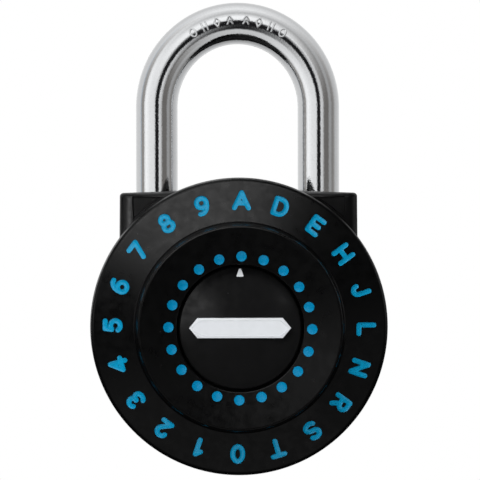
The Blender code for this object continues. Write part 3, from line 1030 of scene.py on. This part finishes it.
CHARACTERS: dict[str, list[list[tuple]]] = {
    "A": [[(-0.93, -1), (0, 1), (0.93, -1)], [(-0.60, -0.36), (0.60, -0.36)]],
    "D": [[(-0.76, -1), (-0.76, 1), (-0.10, 1), (-0.10, 0, 0.86, 1, 90, -90), (-0.76, -1)]],
    "E": [[(0.66, 1), (-0.66, 1), (-0.66, -1), (0.66, -1)], [(-0.66, 0), (0.46, 0)]],
    "H": [[(-0.78, 1), (-0.78, -1)], [(0.78, 1), (0.78, -1)], [(-0.78, 0), (0.78, 0)]],
    "J": [[(0.50, 1), (-0.04, -0.46, 0.54, 0.54, 0, -180)]],
    "L": [[(-0.52, 1), (-0.52, -1), (0.62, -1)]],
    "N": [[(-0.76, -1), (-0.76, 1), (0.76, -1), (0.76, 1)]],
    "R": [[(-0.66, -1), (-0.66, 1), (0.10, 1), (0.10, 0.45, 0.56, 0.55, 90, -90), (-0.66, -0.10)],
          [(0.06, -0.10), (0.72, -1)]],
    "S": [[(0, 0.50, 0.68, 0.50, 38, 270), (0, -0.50, 0.72, 0.50, 90, -142)]],
    "T": [[(-0.78, 1), (0.78, 1)], [(0, 1), (0, -1)]],
    "0": [[(0, 0, 0.66, 1, 0, 360)]],
    "1": [[(-0.44, 0.52), (0.12, 1), (0.12, -1)]],
    "2": [[(0, 0.40, 0.62, 0.60, 165, -28), (-0.62, -1), (0.68, -1)]],
    "3": [[(0, 0.47, 0.55, 0.53, 150, -90), (0, -0.50, 0.64, 0.50, 90, -150)]],
    "4": [[(0.32, -1), (0.32, 1), (-0.80, -0.42), (0.80, -0.42)]],
    "5": [[(0.58, 1), (-0.44, 1), (-0.54, 0.10), (-0.03, -0.36, 0.66, 0.64, 130, -150)]],
    "6": [[(0, -0.38, 0.64, 0.62, 0, 360)], [(0.32, -0.30, 0.96, 1.30, 78, 180)]],
    "7": [[(-0.68, 1), (0.68, 1), (-0.14, -1)]],
    "8": [[(0, 0.50, 0.52, 0.50, 0, 360)], [(0, -0.46, 0.64, 0.54, 0, 360)]],
    "9": [[(0, 0.38, 0.64, 0.62, 0, 360)], [(-0.32, 0.30, 0.96, 1.30, -102, 0)]],
}
READING_ORDER = "ADEHJLNRST0123456789"

MARKS: list[list[list[tuple]]] = [
    [[(0, 0, 0.62, 0.9, 0, 360)]],
    [[(-0.45, -0.9), (-0.45, 0.9)], [(0.45, -0.9), (0.45, 0.9)]],
    [[(0, 1), (0.62, 0), (0, -1), (-0.62, 0), (0, 1)]],
    [[(-0.6, -0.8), (0, 0.1), (0.6, -0.8)], [(-0.6, 0), (0, 0.9), (0.6, 0)]],
]


# ---- sub-assemblies ----


@dataclass
class Case:
    """The case: its shell, its rear plate and the post that carries the cap."""

    half_top: float = 20.35
    half_low: float = 20.45
    shoulder_u: float = -25.4
    shoulder_crown: float = 0.4
    radius: float = 23.0
    front: float = 8.5
    back: float = -8.5
    front_fillet: float = 2.3
    top_fillet: float = 0.9
    rim_fillet: float = 0.9
    rim_top_share: float = 0.6  # of the rim's fillet, on the shoulders' top
    lead_in: float = 0.3
    wall: float = 2.0
    cavity_radius: float = 20.2
    recess_inset: float = 1.5
    cover_front: float = -6.8
    collar_radius: float = 25.9
    panel_depth: float = 0.3
    panel_draft: float = 0.22
    bore: float = 5.3
    leg_hole: Flat = (-30.0, -20.0)  # from and to
    post_radius: float = 2.1
    post_sink: float = 3.4
    cover_chamfer: float = 0.4

    def outline(self, side: float, top: float, radius: float) -> list[Flat]:
        """Return the case's outline.

        Args:
            side: how far the flanks are drawn in.
            top: how far the shoulders' top is drawn in.
            radius: the round body's radius.

        Returns:
            The points, anticlockwise from the top's right end.
        """
        corner = 0.6
        half = self.half_top - side
        ceiling = self.shoulder_u - top
        steps = 16
        points = []
        for k in range(steps + 1):
            x = (half - corner) * (1.0 - 2.0 * k / steps)
            points.append((x, ceiling - self.shoulder_crown * (x / half) ** 2))
        edge = ceiling - self.shoulder_crown - corner
        left = arc(corner - half, edge, corner, 100, 180, 6)
        low = self.half_low - side
        meet = math.degrees(math.atan2(math.sqrt(max(radius ** 2 - low ** 2, 0.0)), -low))
        round_part = arc(0.0, AXIS_U, radius, meet, 540.0 - meet, 120)
        return points + left + round_part + [(-x, u) for x, u in reversed(left)]

    def ring(self, inset: float, size: float, top_share: float, depth: float) -> list[Triple]:
        """Return the outline drawn in by a share of a fillet's size, at a depth."""
        by = size * inset
        return deep(self.outline(by, top_share * by, self.radius - by), depth)

    def panel(self, side: int) -> list[Flat]:
        """Return a shoulder's sunk panel.

        Args:
            side: -1 for the left shoulder, 1 for the right one.

        Returns:
            The panel's outline, anticlockwise.
        """
        outer = self.half_top - self.front_fillet
        top = self.shoulder_u - self.top_fillet - 0.2
        high = math.degrees(math.asin((top - AXIS_U) / self.collar_radius))
        low = math.degrees(math.acos(outer / self.collar_radius))
        collar = arc(0.0, AXIS_U, self.collar_radius, low, high, 28)
        shape = [(side * x, u) for x, u in [*collar[1:-1], (outer, top)]]
        return shape[::-1] if side > 0 else shape

    def shell(self) -> Object:
        """Make the shell: rounded front, hollow inside, open and recessed behind.

        Returns:
            The shell.
        """
        rim, front = self.rim_fillet, self.front_fillet
        rings = [self.ring(inset, rim, self.rim_top_share, self.back + self.lead_in + rim * rise)
                 for inset, rise in fillet(10)]
        rings += [self.ring(inset, front, self.top_fillet / front, self.front - front * rise)
                  for inset, rise in reversed(fillet(10))]
        shell = Solid.lofted(rings).to_object("case_shell")
        inner = self.outline(self.wall, self.wall + 0.1, self.cavity_radius)
        rear = self.outline(self.recess_inset, self.recess_inset, self.radius - self.recess_inset)
        tools = [Solid.prism(inner, self.cover_front, self.front - self.wall),
                 Solid.prism(rear, self.back - 1.0, self.cover_front + GAP),
                 Solid.prism(circle(0.0, AXIS_U, self.bore, 64), 0.0, self.front + 1.0)]
        for side in (-1, 1):
            floor = self.panel(side)
            mouth = grown(floor, self.panel_draft)
            tools += [Solid.upright(side * LEG_X, ROD_RADIUS + GAP, *self.leg_hole),
                      Solid.lofted([deep(floor, self.front - self.panel_depth),
                                    deep(mouth, self.front + 0.02),
                                    deep(mouth, self.front + 1.0)])]
        carve(shell, [tool.to_object("t_case") for tool in tools], 30.0)
        return shell

    def rear_plate(self) -> Object:
        """Make the cover plate that closes the back, with its countersunk hole.

        Returns:
            The plate.
        """
        inset, chamfer = self.recess_inset + GAP, self.cover_chamfer
        steps = [(inset + chamfer * inner, self.back + chamfer * rise)
                 for inner, rise in fillet(4)] + [(inset, self.cover_front)]
        plate = Solid.lofted([deep(self.outline(by, by, self.radius - by), depth)
                              for by, depth in steps]).to_object("rear_plate")
        above, below = self.cover_front + 1.0, self.back - 1.0
        hole = Solid.turned([(0.0, above), (self.post_radius, above), (self.post_radius, -7.6),
                             (self.post_sink, self.back - 0.1), (self.post_sink, below),
                             (0.0, below)], ROUND).to_object("t_post")
        carve(plate, [hole])
        return plate

    def post(self) -> Object:
        """Make the riveted post that runs through the spindle to the cap.

        Returns:
            The post.
        """
        head = [(0.0, -8.48), (1.2, -8.46), (2.2, -8.40), (2.75, -8.28), (2.95, -8.12)]
        return Solid.turned([*head, (1.8, -7.1), (1.8, 15.9), (1.4, 16.3), (0.0, 16.3)],
                            ROUND).to_object("post_rivet")

    def build(self) -> None:
        """Make the case's pieces and dress them."""
        fit(self.shell(), BLACK_CASE, Body.CASE, Slot.COAT, "case_body")
        fit(self.rear_plate(), BLACK_CASE, Body.CASE, Slot.COAT, "back_cover")
        fit(self.post(), STEEL, Body.CASE, Slot.STEEL, "centre_post")


@dataclass
class Cap:
    """The still cap inside the dial, with its plain bar and its pointer."""

    radius: float = 10.42
    front: float = 17.9
    back: float = 15.1
    dome_radius: float = 50.0
    edge: float = 0.4
    bar_half_width: float = 8.6
    bar_half_height: float = 1.7
    bar_point: float = 1.4
    bar_rise: float = 0.25
    bar_foot: float = 1.05
    pocket_floor: float = 1.25
    pointer_base: float = 8.64
    pointer_tip: float = 10.0
    paint: Flat = (0.035, -0.15)  # the film's upper and under side from the cap's face
    socket_radius: float = 2.1
    socket_depth: float = 1.5

    def depth(self, radius: float) -> float:
        """Return the face's depth.

        Args:
            radius: the distance from the middle.

        Returns:
            The depth of the dome there, or of its rounded edge.
        """
        inner = self.radius - self.edge
        dome = self.front - min(radius, inner) ** 2 / (2.0 * self.dome_radius)
        over = max(0.0, min(radius - inner, self.edge))
        return dome - self.edge + math.sqrt(self.edge ** 2 - over ** 2)

    def bar_outline(self, grow: float = 0.0) -> list[Flat]:
        """Return the plain bar's outline, pointed at both ends.

        Args:
            grow: how far it is moved outwards.

        Returns:
            Its six points, anticlockwise.
        """
        half, high = self.bar_half_width + grow, self.bar_half_height + grow
        flank = half - self.bar_point
        upper = [(half, AXIS_U), (flank, AXIS_U + high), (-flank, AXIS_U + high)]
        return upper + [(-x, 2.0 * AXIS_U - u) for x, u in upper]

    def moulding(self) -> Object:
        """Make the domed cap with the pocket for its bar.

        Returns:
            The cap.
        """
        radii = [0.0, 1.5, 3, 4.5, 6, 7.5, 8.8] + [
            self.radius - self.edge * inset for inset, _ in fillet(9)]
        floor = self.back + self.socket_depth
        behind = [(self.radius, self.back), (self.socket_radius, self.back),
                  (self.socket_radius, floor), (0.0, floor)]
        profile = [(r, self.depth(r)) for r in radii] + behind
        cap = Solid.turned(profile, FINE).to_object("cap_moulding", 50.0)
        pocket = Solid.prism(self.bar_outline(0.1), self.front - self.pocket_floor,
                             self.front + 1.0)
        carve(cap, [pocket.to_object("t_bar")], 50.0)
        return cap

    def bar(self) -> Object:
        """Make the raised bar with a softened edge and a shallow sunk field.

        Returns:
            The bar.
        """
        top = self.front + self.bar_rise
        steps = [(0.0, self.front - self.bar_foot), (0.0, top - 0.10), (-0.04, top - 0.03),
                 (-0.11, top), (-0.42, top), (-0.50, top - 0.07)]
        rings = [deep(self.bar_outline(grow), depth) for grow, depth in steps]
        return Solid.lofted(rings).to_object("cap_bar", 30.0)

    def pointer(self) -> Object:
        """Make the painted pointer as a thin film that follows the cap's face.

        Returns:
            The film, a triangle with softened corners.
        """
        half_base, half_tip, steps = 0.64, 0.15, 14
        rings = []
        for t in (k / steps for k in range(steps + 1)):
            radius = self.pointer_base + (self.pointer_tip - self.pointer_base) * t
            half = half_base + (half_tip - half_base) * t
            half -= 0.12 * max(0.0, 1.0 - t / 0.09) ** 2 + 0.10 * max(0.0, (t - 0.9) / 0.1) ** 2
            across = (-half, -half / 3, half / 3, half)
            upper, under = (self.depth(radius) + lift for lift in self.paint)
            rings.append([(x, AXIS_U + radius, upper) for x in across]
                         + [(x, AXIS_U + radius, under) for x in reversed(across)])
        return Solid.lofted(rings).to_object("pointer_mark", 40.0)

    def build(self) -> None:
        """Make the cap's pieces and dress them."""
        fit(self.moulding(), BLACK_CAP, Body.CASE, Slot.PLASTIC, "centre_cap")
        fit(self.bar(), WHITE_PAINT, Body.CASE, Slot.WHITE, "cap_badge")
        fit(self.pointer(), WHITE_PAINT, Body.CASE, Slot.WHITE)


@dataclass
class Dial:
    """The turning dial with its sunk, painted characters and dots."""

    radius: float = 25.4
    back: float = 9.0
    axle: float = 3.7
    bore: float = 10.75
    knob_front: float = 20.2
    crest: float = 16.88
    web_front: float = 14.2
    lip_radius: float = 0.42
    foot_x: float = 18.21
    foot_depth: float = 14.97
    foot_fillet: float = 0.45
    skirt_end: Flat = (24.55, 12.12)
    turn: float = math.radians(0.93)  # clockwise at rest, seen from the front
    letter_radius: float = 21.52
    letter_scale: float = 1.29
    letter_width: float = 0.86
    letter_sink: float = 0.42
    dot_ring: float = 12.08
    dot_radius: float = 0.87
    dot_sink: float = 0.34

    def foot(self, steps: int) -> list[Flat]:
        """Return the knob's foot, which ends where the sloping skirt starts."""
        return arc(self.foot_x, self.foot_depth, self.foot_fillet, 175, 249.5, steps)

    def lip(self, steps: int) -> list[Flat]:
        """Return the rounded lip on the knob's crest, from its inner end."""
        return arc(self.crest, self.knob_front - self.lip_radius, self.lip_radius, 105, 15, steps)

    def skirt_slope(self) -> float:
        """Return how much the skirt falls for each millimetre outwards."""
        x, depth = self.foot(1)[-1]
        return (self.skirt_end[1] - depth) / (self.skirt_end[0] - x)

    def skirt_depth(self, radius: float) -> float:
        """Return the skirt's depth at a radius."""
        return self.skirt_end[1] + (radius - self.skirt_end[0]) * self.skirt_slope()

    def annulus(self) -> tuple[Flat, Flat]:
        """Return the two ends of the knob's sloping top."""
        return (self.bore + 0.2, self.knob_front - 1.25), self.lip(1)[0]

    def annulus_slope(self) -> float:
        """Return how much the knob's top rises for each millimetre outwards."""
        inner, outer = self.annulus()
        return (outer[1] - inner[1]) / (outer[0] - inner[0])

    def annulus_depth(self, radius: float) -> float:
        """Return the depth of the knob's top at a radius."""
        inner, _ = self.annulus()
        return inner[1] + (radius - inner[0]) * self.annulus_slope()

    def profile(self) -> list[Flat]:
        """Return the dial's closed section.

        Returns:
            Its (radius, depth) points, the front side first.
        """
        inner, _ = self.annulus()
        well = [(self.axle, self.web_front), (self.bore, self.web_front),
                *bend((self.bore, inner[1] - 0.2), (self.bore, inner[1]), inner, 4)]
        top = [(r, self.annulus_depth(r)) for r in (11.2, 13.35, 14.9)]
        skirt = [(r, self.skirt_depth(r)) for r in (19.7, 23.5)]
        rim = [*bend(self.skirt_end, (25.17, 11.88), (25.27, 11.2), 8), (self.radius, 9.25),
               (25.3, 9.05), (25.1, self.back)]
        behind = [(23.6, self.back), (23.4, 10.4), (18.6, 12.2), (16.4, 13.2), (15.5, 18.2),
                  (12.7, 17.0), (12.5, 12.4), (6.3, 12.4), (6.3, 9.6), (self.axle, 9.6)]
        return well + top + self.lip(10) + self.foot(8) + skirt + rim + behind

    def ring_of(self, pieces: list[Object], name: str,
                letters: bool) -> Object:
        """Set twenty flat pieces round the dial.

        Args:
            pieces: the pieces, in order clockwise from the top.
            name: the ring's name.
            letters: True for the skirt's ring, False for the dots' ring.

        Returns:
            One object with all of them, in place.
        """
        if letters:
            radius, depth_at, slope = self.letter_radius, self.skirt_depth, self.skirt_slope()
        else:
            radius, depth_at, slope = self.dot_ring, self.annulus_depth, self.annulus_slope()
        with gathered(name + "_pieces", pieces) as pile:
            ring = RING.grow(name, {
                "Pieces": pile, "Count": len(READING_ORDER), "Radius": radius * MM,
                "Turn": self.turn, "Depth": depth_at(radius) * MM, "Slope": slope,
                "Finish": BLUE_PAINT.material()})
            place_from_front(ring, AXIS_U)
            close_up(ring, 50.0)
        return ring

    def characters(self, name: str, bottom: float, top: Callable[[float], float],
                   extra: float) -> Object:
        """Make the ring of characters as closed solids.

        Args:
            name: the ring's name.
            bottom: the height of their underside.
            top: the height of their upper side at a distance from the strokes' middle.
            extra: how far they reach past the strokes' edge.

        Returns:
            The ring, in place.
        """
        shapes = [Stroked.drawn(CHARACTERS[sign], self.letter_scale, self.letter_width)
                  for sign in READING_ORDER]
        return self.ring_of([shape.solid(f"{name}_{k:02d}", bottom, top, extra)
                             for k, shape in enumerate(shapes)], name, True)

    def dots(self, name: str, radius: float, bottom: float,
             dish: Sequence[Flat]) -> Object:
        """Make the ring of dots.

        Args:
            name: the ring's name.
            radius: each dot's radius.
            bottom: the height of their underside.
            dish: the profile of their upper side.

        Returns:
            The ring, in place.
        """
        pieces = []
        for k in range(len(READING_ORDER)):
            section = [*dish, (radius, bottom), (0.0, bottom)]
            dot = Solid.turned(section, 28, 0.0).to_object(f"{name}_{k:02d}", 50.0)
            dot.data.transform(Matrix.Rotation(math.radians(-90.0), 4, "X"))
            bpy.context.scene.collection.objects.unlink(dot)
            pieces.append(dot)
        return self.ring_of(pieces, name, False)

    def moulding(self) -> Object:
        """Make the dial's body and cut its characters and dots into it.

        Returns:
            The body.
        """
        body = Solid.turned(self.profile(), 288).to_object("dial_moulding")
        above, pit = 0.8, self.dot_radius + 0.03
        carve(body, [self.characters("t_grooves", -self.letter_sink, lambda away: above, 0.02),
                     self.dots("t_pits", pit, -self.dot_sink, [(0.0, above), (pit, above)])])
        self.true_normals(body.data)
        return body

    def true_normals(self, mesh: Mesh) -> None:
        """Give the skirt's and the knob top's faces the cone's own normals.

        Args:
            mesh: the dial's mesh, which is changed.
        """
        normals = np.array([tuple(n.vector) for n in mesh.corner_normals])
        corners = np.array([tuple(mesh.vertices[loop.vertex_index].co) for loop in mesh.loops])
        faces = np.repeat(np.array([tuple(p.normal) for p in mesh.polygons]),
                          [p.loop_total for p in mesh.polygons], axis=0)
        x, z = corners[:, 0] / MM, corners[:, 2] / MM - AXIS_U
        radius = np.hypot(x, z)
        inner, outer = self.annulus()
        margin, alike = 0.02, 0.9985
        for low, high, slope in ((self.foot(1)[-1][0], self.skirt_end[0], self.skirt_slope()),
                                 (inner[0], outer[0], self.annulus_slope())):
            lean = -slope / math.hypot(1.0, slope)
            ideal = np.stack([x / radius * lean, np.full_like(x, -math.sqrt(1.0 - lean ** 2)),
                              z / radius * lean], axis=1)
            on_cone = (radius > low - margin) & (radius < high + margin) \
                & ((faces * ideal).sum(axis=1) > alike)
            normals[on_cone] = ideal[on_cone]
        mesh.normals_split_custom_set([tuple(n) for n in normals])

    def build(self) -> None:
        """Make the dial's pieces and dress them."""
        fit(self.moulding(), BLACK_DIAL, Body.DIAL, Slot.PLASTIC, "dial")
        half = self.letter_width / 2
        paint = self.characters("painted_characters", -0.55,
                                lambda away: -0.29 + 0.16 * min(1.0, away / half) ** 2, 0.0)
        fit(paint, BLUE_PAINT, Body.DIAL, Slot.BLUE)
        dish = [(self.dot_radius * s, -0.20 + 0.16 * s * s) for s in (0, 0.35, 0.7, 1.0)]
        fit(self.dots("painted_dots", self.dot_radius, -0.5, dish), BLUE_DOTS_PAINTED_SHADE, Body.DIAL,
            Slot.BLUE)


@dataclass
class Shackle:
    """The chromed bow with its notched toe, and the marks stamped on its crown."""

    crown_rise: float = 14.55
    toe_end: float = -38.2
    heel_end: float = -47.3
    notch_u: float = -35.3
    relief_low: float = -45.3
    relief_high: float = -29.5
    relief_depth: float = 1.8
    mark_scale: float = 0.84
    mark_width: float = 0.33
    mark_height: float = 0.20
    mark_pitch: float = math.radians(8.8) * 15.25
    mark_gap: float = 0.65
    mark_lean: float = math.radians(8.0)

    def springing(self) -> float:
        """Return the height where the straight legs end."""
        return ROD_RADIUS - self.crown_rise

    def path(self) -> dict[str, object]:
        """Describe the rod for the shackle's two trees.

        Returns:
            The values of the inputs that both trees have.
        """
        return {"Rod radius": ROD_RADIUS * MM, "Leg offset": LEG_X * MM,
                "Crown rise": self.crown_rise * MM, "Springing": self.springing() * MM,
                "Finish": CHROME.material()}

    def bow(self) -> Object:
        """Make the bow and cut its notch and its relief flat.

        Returns:
            The bow.
        """
        start = self.springing()
        bow = bow_tree().grow("shackle_bow", {
            **self.path(), "Toe length": (start - self.toe_end) * MM,
            "Heel length": (start - self.heel_end) * MM, "Steps": 241, "Sides": ROUND})
        close_up(bow, 40.0)
        inner = LEG_X - ROD_RADIUS
        notch = [(inner - 1.0, self.notch_u - 1.8), (inner, self.notch_u - 1.6),
                 (inner + 2.2, self.notch_u - 1.2), (inner + 2.2, self.notch_u + 1.2),
                 (inner - 1.0, self.notch_u + 1.2)]
        floor, low, high = -inner - self.relief_depth, self.relief_low, self.relief_high
        relief = [(floor, low), (1.0 - inner, low), (1.0 - inner, high), (floor, high)]
        carve(bow, [Solid.prism(shape, -6.0, 6.0).to_object("t_cut")
                    for shape in (notch, relief)], 40.0)
        return bow

    def marks(self) -> Object:
        """Make the row of small raised marks, wrapped on the crown's front.

        Returns:
            The row as one object.
        """
        order = [0, 1, 2, 3, 3, 2, 1, 0]
        half = self.mark_width / 2
        shapes = [Stroked.drawn(MARKS[kind], self.mark_scale, self.mark_width) for kind in order]
        pieces = [shape.solid(f"mark_{k}", -0.25, lambda away: self.mark_height
                              * (1.0 - 0.55 * min(1.0, away / half) ** 2))
                  for k, shape in enumerate(shapes)]
        with gathered("mark_pieces", pieces) as pile:
            row = crown_marks_tree().grow("crown_marks", {
                **self.path(), "Pieces": pile, "Count": len(order),
                "Pitch": self.mark_pitch * MM, "Middle gap": self.mark_gap * MM,
                "Lean": self.mark_lean})
            close_up(row, 60.0)
        return row

    def build(self) -> list[Object]:
        """Make the shackle's pieces and dress them.

        Returns:
            The chromed pieces.
        """
        pieces = [self.bow(), self.marks()]
        fit(pieces[0], CHROME, Body.SHACKLE, Slot.CHROME, "shackle")
        fit(pieces[1], CHROME, Body.SHACKLE, Slot.CHROME)
        return pieces


@dataclass
class Works:
    """The working parts that keep their CAD shape and get a real finish."""

    nodes: dict[str, Object]

    def build(self) -> None:
        """Dress every CAD node that still shows."""
        for name, node in sorted(self.nodes.items()):
            if node.hide_render:
                continue
            finish = CARRIED_OVER[node.data.materials[0].name.split(".")[0]]
            for place in node.material_slots:
                place.material = finish.material()
            LOG.info("%s keeps its CAD shape: %s", name, finish.name)


# ---- studio ----


@dataclass(frozen=True)
class Softbox:
    """A soft lamp, placed by its direction from the dial as the viewer sees it.

    The clock angle runs clockwise from the top in degrees, and the spread is the angle
    between the lamp and the viewer's line. Width and height are in metres.
    """

    name: str
    clock: float
    spread: float
    width: float
    height: float
    glow: float
    distance: float = 0.8
    lights: Lit = Lit.SATIN

    def build(self, aim: Vector, receivers: Collection) -> None:
        """Hang the lamp, its width along the clock circle.

        Args:
            aim: the point that it faces.
            receivers: the pieces that it lights.
        """
        clock, spread = math.radians(self.clock), math.radians(self.spread)
        away = Vector((math.sin(spread) * math.sin(clock), -math.cos(spread),
                       math.sin(spread) * math.cos(clock)))
        lamp = bpy.data.lights.new(self.name, "AREA")
        lamp.shape = "RECTANGLE"
        lamp.size, lamp.size_y = self.width, self.height
        lamp.energy = self.glow * math.pi * self.width * self.height
        holder = added(self.name, lamp)
        along = Vector((math.cos(clock), 0.0, -math.sin(clock)))
        turn = Matrix((along, away.cross(along), away)).transposed().to_4x4()
        holder.matrix_world = Matrix.Translation(aim + away * self.distance) @ turn
        holder.visible_camera = False
        holder.light_linking.receiver_collection = receivers


def unseen(thing: Object, *rays: str) -> None:
    """Hide a stage object from these kinds of ray."""
    for ray in rays:
        setattr(thing, "visible_" + ray, False)


def grey(level: float, warm: float = 0.0) -> Colour:
    """Return a grey, warmer or cooler by a share of its level."""
    return (level * (1.0 + warm), level, level * (1.0 - warm))


@dataclass
class Studio:
    """The white studio: world, light tent for the chrome, lamps, floor and camera."""

    aim: Vector
    lamp_aim: Vector
    lens: float = 263.6
    distance: float = 0.6
    rise: float = math.radians(0.5)
    swing: float = math.radians(-1.25)
    roll: float = math.radians(-0.08)
    white: tuple[float, ...] = (1.0, 1.0, 1.0, 1.0)
    dim: tuple[float, ...] = (0.015, 0.015, 0.016, 1.0)

    def world(self) -> None:
        """Make the surroundings: white behind the lock, dim grey in its plastic."""
        world = bpy.data.worlds.new("studio")
        world.use_nodes = True
        graph = Graph(world.node_tree)
        seen = graph.node("ShaderNodeLightPath").outputs["Is Camera Ray"]
        dim, white = (graph.node("ShaderNodeBackground", inputs={0: colour}).outputs[0]
                      for colour in (self.dim, self.white))
        both = graph.node("ShaderNodeMixShader", inputs={0: seen, 1: dim, 2: white})
        graph.node("ShaderNodeOutputWorld", inputs={0: both.outputs[0]})
        bpy.context.scene.world = world

    def tent_glow(self) -> Material:
        """Make the tent's glow.

        It runs along four ramps from the viewer's side (0) to the far side (1), one each
        for above, right, below and left, blended between them.

        Returns:
            The material, clear to everything behind it.
        """
        made = bpy.data.materials.new("tent_glow")
        graph = Surface(made)
        offset = graph.node("ShaderNodeVectorMath", {"operation": "SUBTRACT"},
                            {0: graph.place, 1: tuple(self.aim)})
        x, y, z = graph.parts(graph.node("ShaderNodeVectorMath", {"operation": "NORMALIZE"},
                                         {0: offset.outputs[0]}).outputs[0])
        spread = graph.math("ARCCOSINE", y * -1.0) / math.pi
        above, right, below, left = (graph.node("ShaderNodeValToRGB", {"stops": [
            (degrees / 180.0, grey(*level)) for degrees, *level in stops]}, {0: spread}).outputs[0]
            for stops in TENT)
        sideways = x * x / (x * x + z * z + 1e-6)
        upright = graph.blend(graph.ramp(z, -0.02, 0.02), below, above)
        level = graph.blend(graph.ramp(x, -0.02, 0.02), left, right)
        glow = graph.node("ShaderNodeEmission", inputs={
            0: graph.blend(sideways, upright, level), 1: 1.0})
        clear = graph.node("ShaderNodeBsdfTransparent")
        both = graph.node("ShaderNodeAddShader", inputs={0: glow.outputs[0], 1: clear.outputs[0]})
        graph.node("ShaderNodeOutputMaterial", inputs={0: both.outputs[0]})
        made.cycles.emission_sampling = "NONE"
        return made

    def tent(self, receivers: Collection) -> None:
        """Make the light tent.

        Args:
            receivers: the pieces that reflect it.
        """
        work = bmesh.new()
        bmesh.ops.create_uvsphere(work, u_segments=64, v_segments=32, radius=1.6)
        mesh = bpy.data.meshes.new("light_tent")
        work.to_mesh(mesh)
        work.free()
        mesh.transform(Matrix.Translation(self.aim))
        mesh.materials.append(self.tent_glow())
        tent = added("light_tent", mesh)
        unseen(tent, "camera", "diffuse", "shadow")
        tent.light_linking.receiver_collection = receivers
        tent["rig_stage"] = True

    def floor(self) -> None:
        """Lay the plain white floor just under the lock."""
        low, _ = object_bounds()
        bpy.ops.mesh.primitive_plane_add(size=6.0, location=(0.0, 0.0, low.z - 0.0002))
        floor = bpy.context.object
        floor.name = "floor"
        made = bpy.data.materials.new("white_floor")
        made.use_nodes = True
        graph = Graph(made.node_tree)
        glow = graph.node("ShaderNodeEmission", inputs={0: self.white})
        graph.node("ShaderNodeOutputMaterial", inputs={0: glow.outputs[0]})
        floor.data.materials.append(made)
        unseen(floor, "diffuse", "glossy", "shadow")
        floor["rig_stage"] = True

    def camera(self) -> None:
        """Set the camera in front, a little above level and a little to the left."""
        camera = bpy.data.cameras.new("camera")
        camera.lens = self.lens
        camera.sensor_width = 36.0
        camera.clip_start, camera.clip_end = 0.05, 20.0
        holder = added("camera", camera)
        turn = Matrix.Rotation(self.swing, 4, "Z") \
            @ Matrix.Rotation(math.radians(90.0) - self.rise, 4, "X")
        back = turn.col[2].xyz
        holder.matrix_world = Matrix.Translation(self.aim + back * self.distance) @ turn \
            @ Matrix.Rotation(self.roll, 4, "Z")
        bpy.context.scene.camera = holder

    def build(self, chromed: list[Object]) -> None:
        """Set up the studio round the finished pieces.

        Args:
            chromed: the pieces that reflect the tent.
        """
        bpy.context.scene.view_settings.view_transform = "Standard"
        bright = bpy.data.collections.new("chromed_pieces")
        groups = {lit: bpy.data.collections.new(lit.name.lower() + "_pieces") for lit in Lit}
        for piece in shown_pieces():
            (bright if piece in chromed else groups[Lit.SATIN]).objects.link(piece)
            if piece.get("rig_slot") in (Slot.BLUE.value, Slot.WHITE.value):
                groups[Lit.PAINT].objects.link(piece)
            if piece.get("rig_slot") == Slot.COAT.value:
                groups[Lit.CASE].objects.link(piece)
        self.world()
        self.tent(bright)
        for box in SOFTBOXES:
            box.build(self.lamp_aim, groups[box.lights])
        self.floor()
        self.camera()


SOFTBOXES = (
    Softbox("key_above_left", 341, 47, 0.98, 0.32, 1.75),
    Softbox("top_light", 334, 76, 0.80, 0.42, 0.55),
    Softbox("strip_left", 287, 17, 0.19, 0.16, 0.85),
    Softbox("strip_right", 62, 24, 0.06, 0.08, 0.9),
    Softbox("glow_above", 330, 26, 0.50, 0.10, 0.05),
    Softbox("low_front", 195, 45, 1.50, 0.40, 0.19),
    Softbox("low_right", 118, 42, 0.66, 0.30, 0.13),
    Softbox("left_side", 280, 80, 0.4, 0.35, 0.5),
    Softbox("right_side", 80, 98, 0.4, 0.5, 0.35),
    Softbox("rear_left", 320, 145, 0.9, 0.6, 0.9),
    Softbox("rear_right", 50, 140, 0.6, 0.5, 0.5),
    Softbox("shoulder_left", 290, 40, 0.08, 0.08, 3.4, 0.16, Lit.CASE),
    Softbox("paint_key", 335, 48, 0.9, 0.9, 1.8, lights=Lit.PAINT),
    Softbox("paint_front", 350, 12, 0.5, 0.5, 3.4, lights=Lit.PAINT),
    Softbox("paint_low", 185, 50, 0.7, 0.7, 1.9, lights=Lit.PAINT),
)


# The tent's glow above, right, below and left: (degrees from the viewer's side, level, warmth).
TENT = (
    ((0, 0.0), (14, 0.0), (22, 1.3), (36, 1.35), (58, 0.66), (86, 1.2), (128, 0.78),
     (168, 0.85), (173, 0.02)),
    ((0, 0.0), (8, 0.0), (13, 0.98), (24, 0.66), (31, 0.17, 0.06), (54, 0.17, 0.06), (62, 0.42),
     (72, 0.40), (80, 0.25, 0.05), (92, 0.32, 0.04), (104, 0.60), (166, 0.90), (173, 0.02)),
    ((0, 0.0), (30, 0.0), (38, 0.78), (64, 0.72), (80, 0.3), (120, 0.45), (164, 0.9),
     (173, 0.02)),
    ((0, 0.0), (8, 0.0), (13, 1.0), (40, 1.08), (62, 1.33), (72, 1.08), (78, 0.36, 0.05),
     (92, 0.34, 0.05), (98, 0.55, -0.12), (106, 0.80), (150, 0.84), (167, 1.0), (173, 0.02)),
)

RING = ring_tree()


def main() -> None:
    """Build the padlock's looks in order, then the studio round it."""
    logging.basicConfig(level=logging.INFO, format="%(name)s: %(message)s")
    Case().build()
    Cap().build()
    Dial().build()
    chromed = Shackle().build()
    Works(frame["nodes"]).build()
    Studio(Vector((0.00018, -0.009, -0.03386)), Vector((0.0, -0.012, -0.045))).build(chromed)


if __name__ == "__main__":
    main()
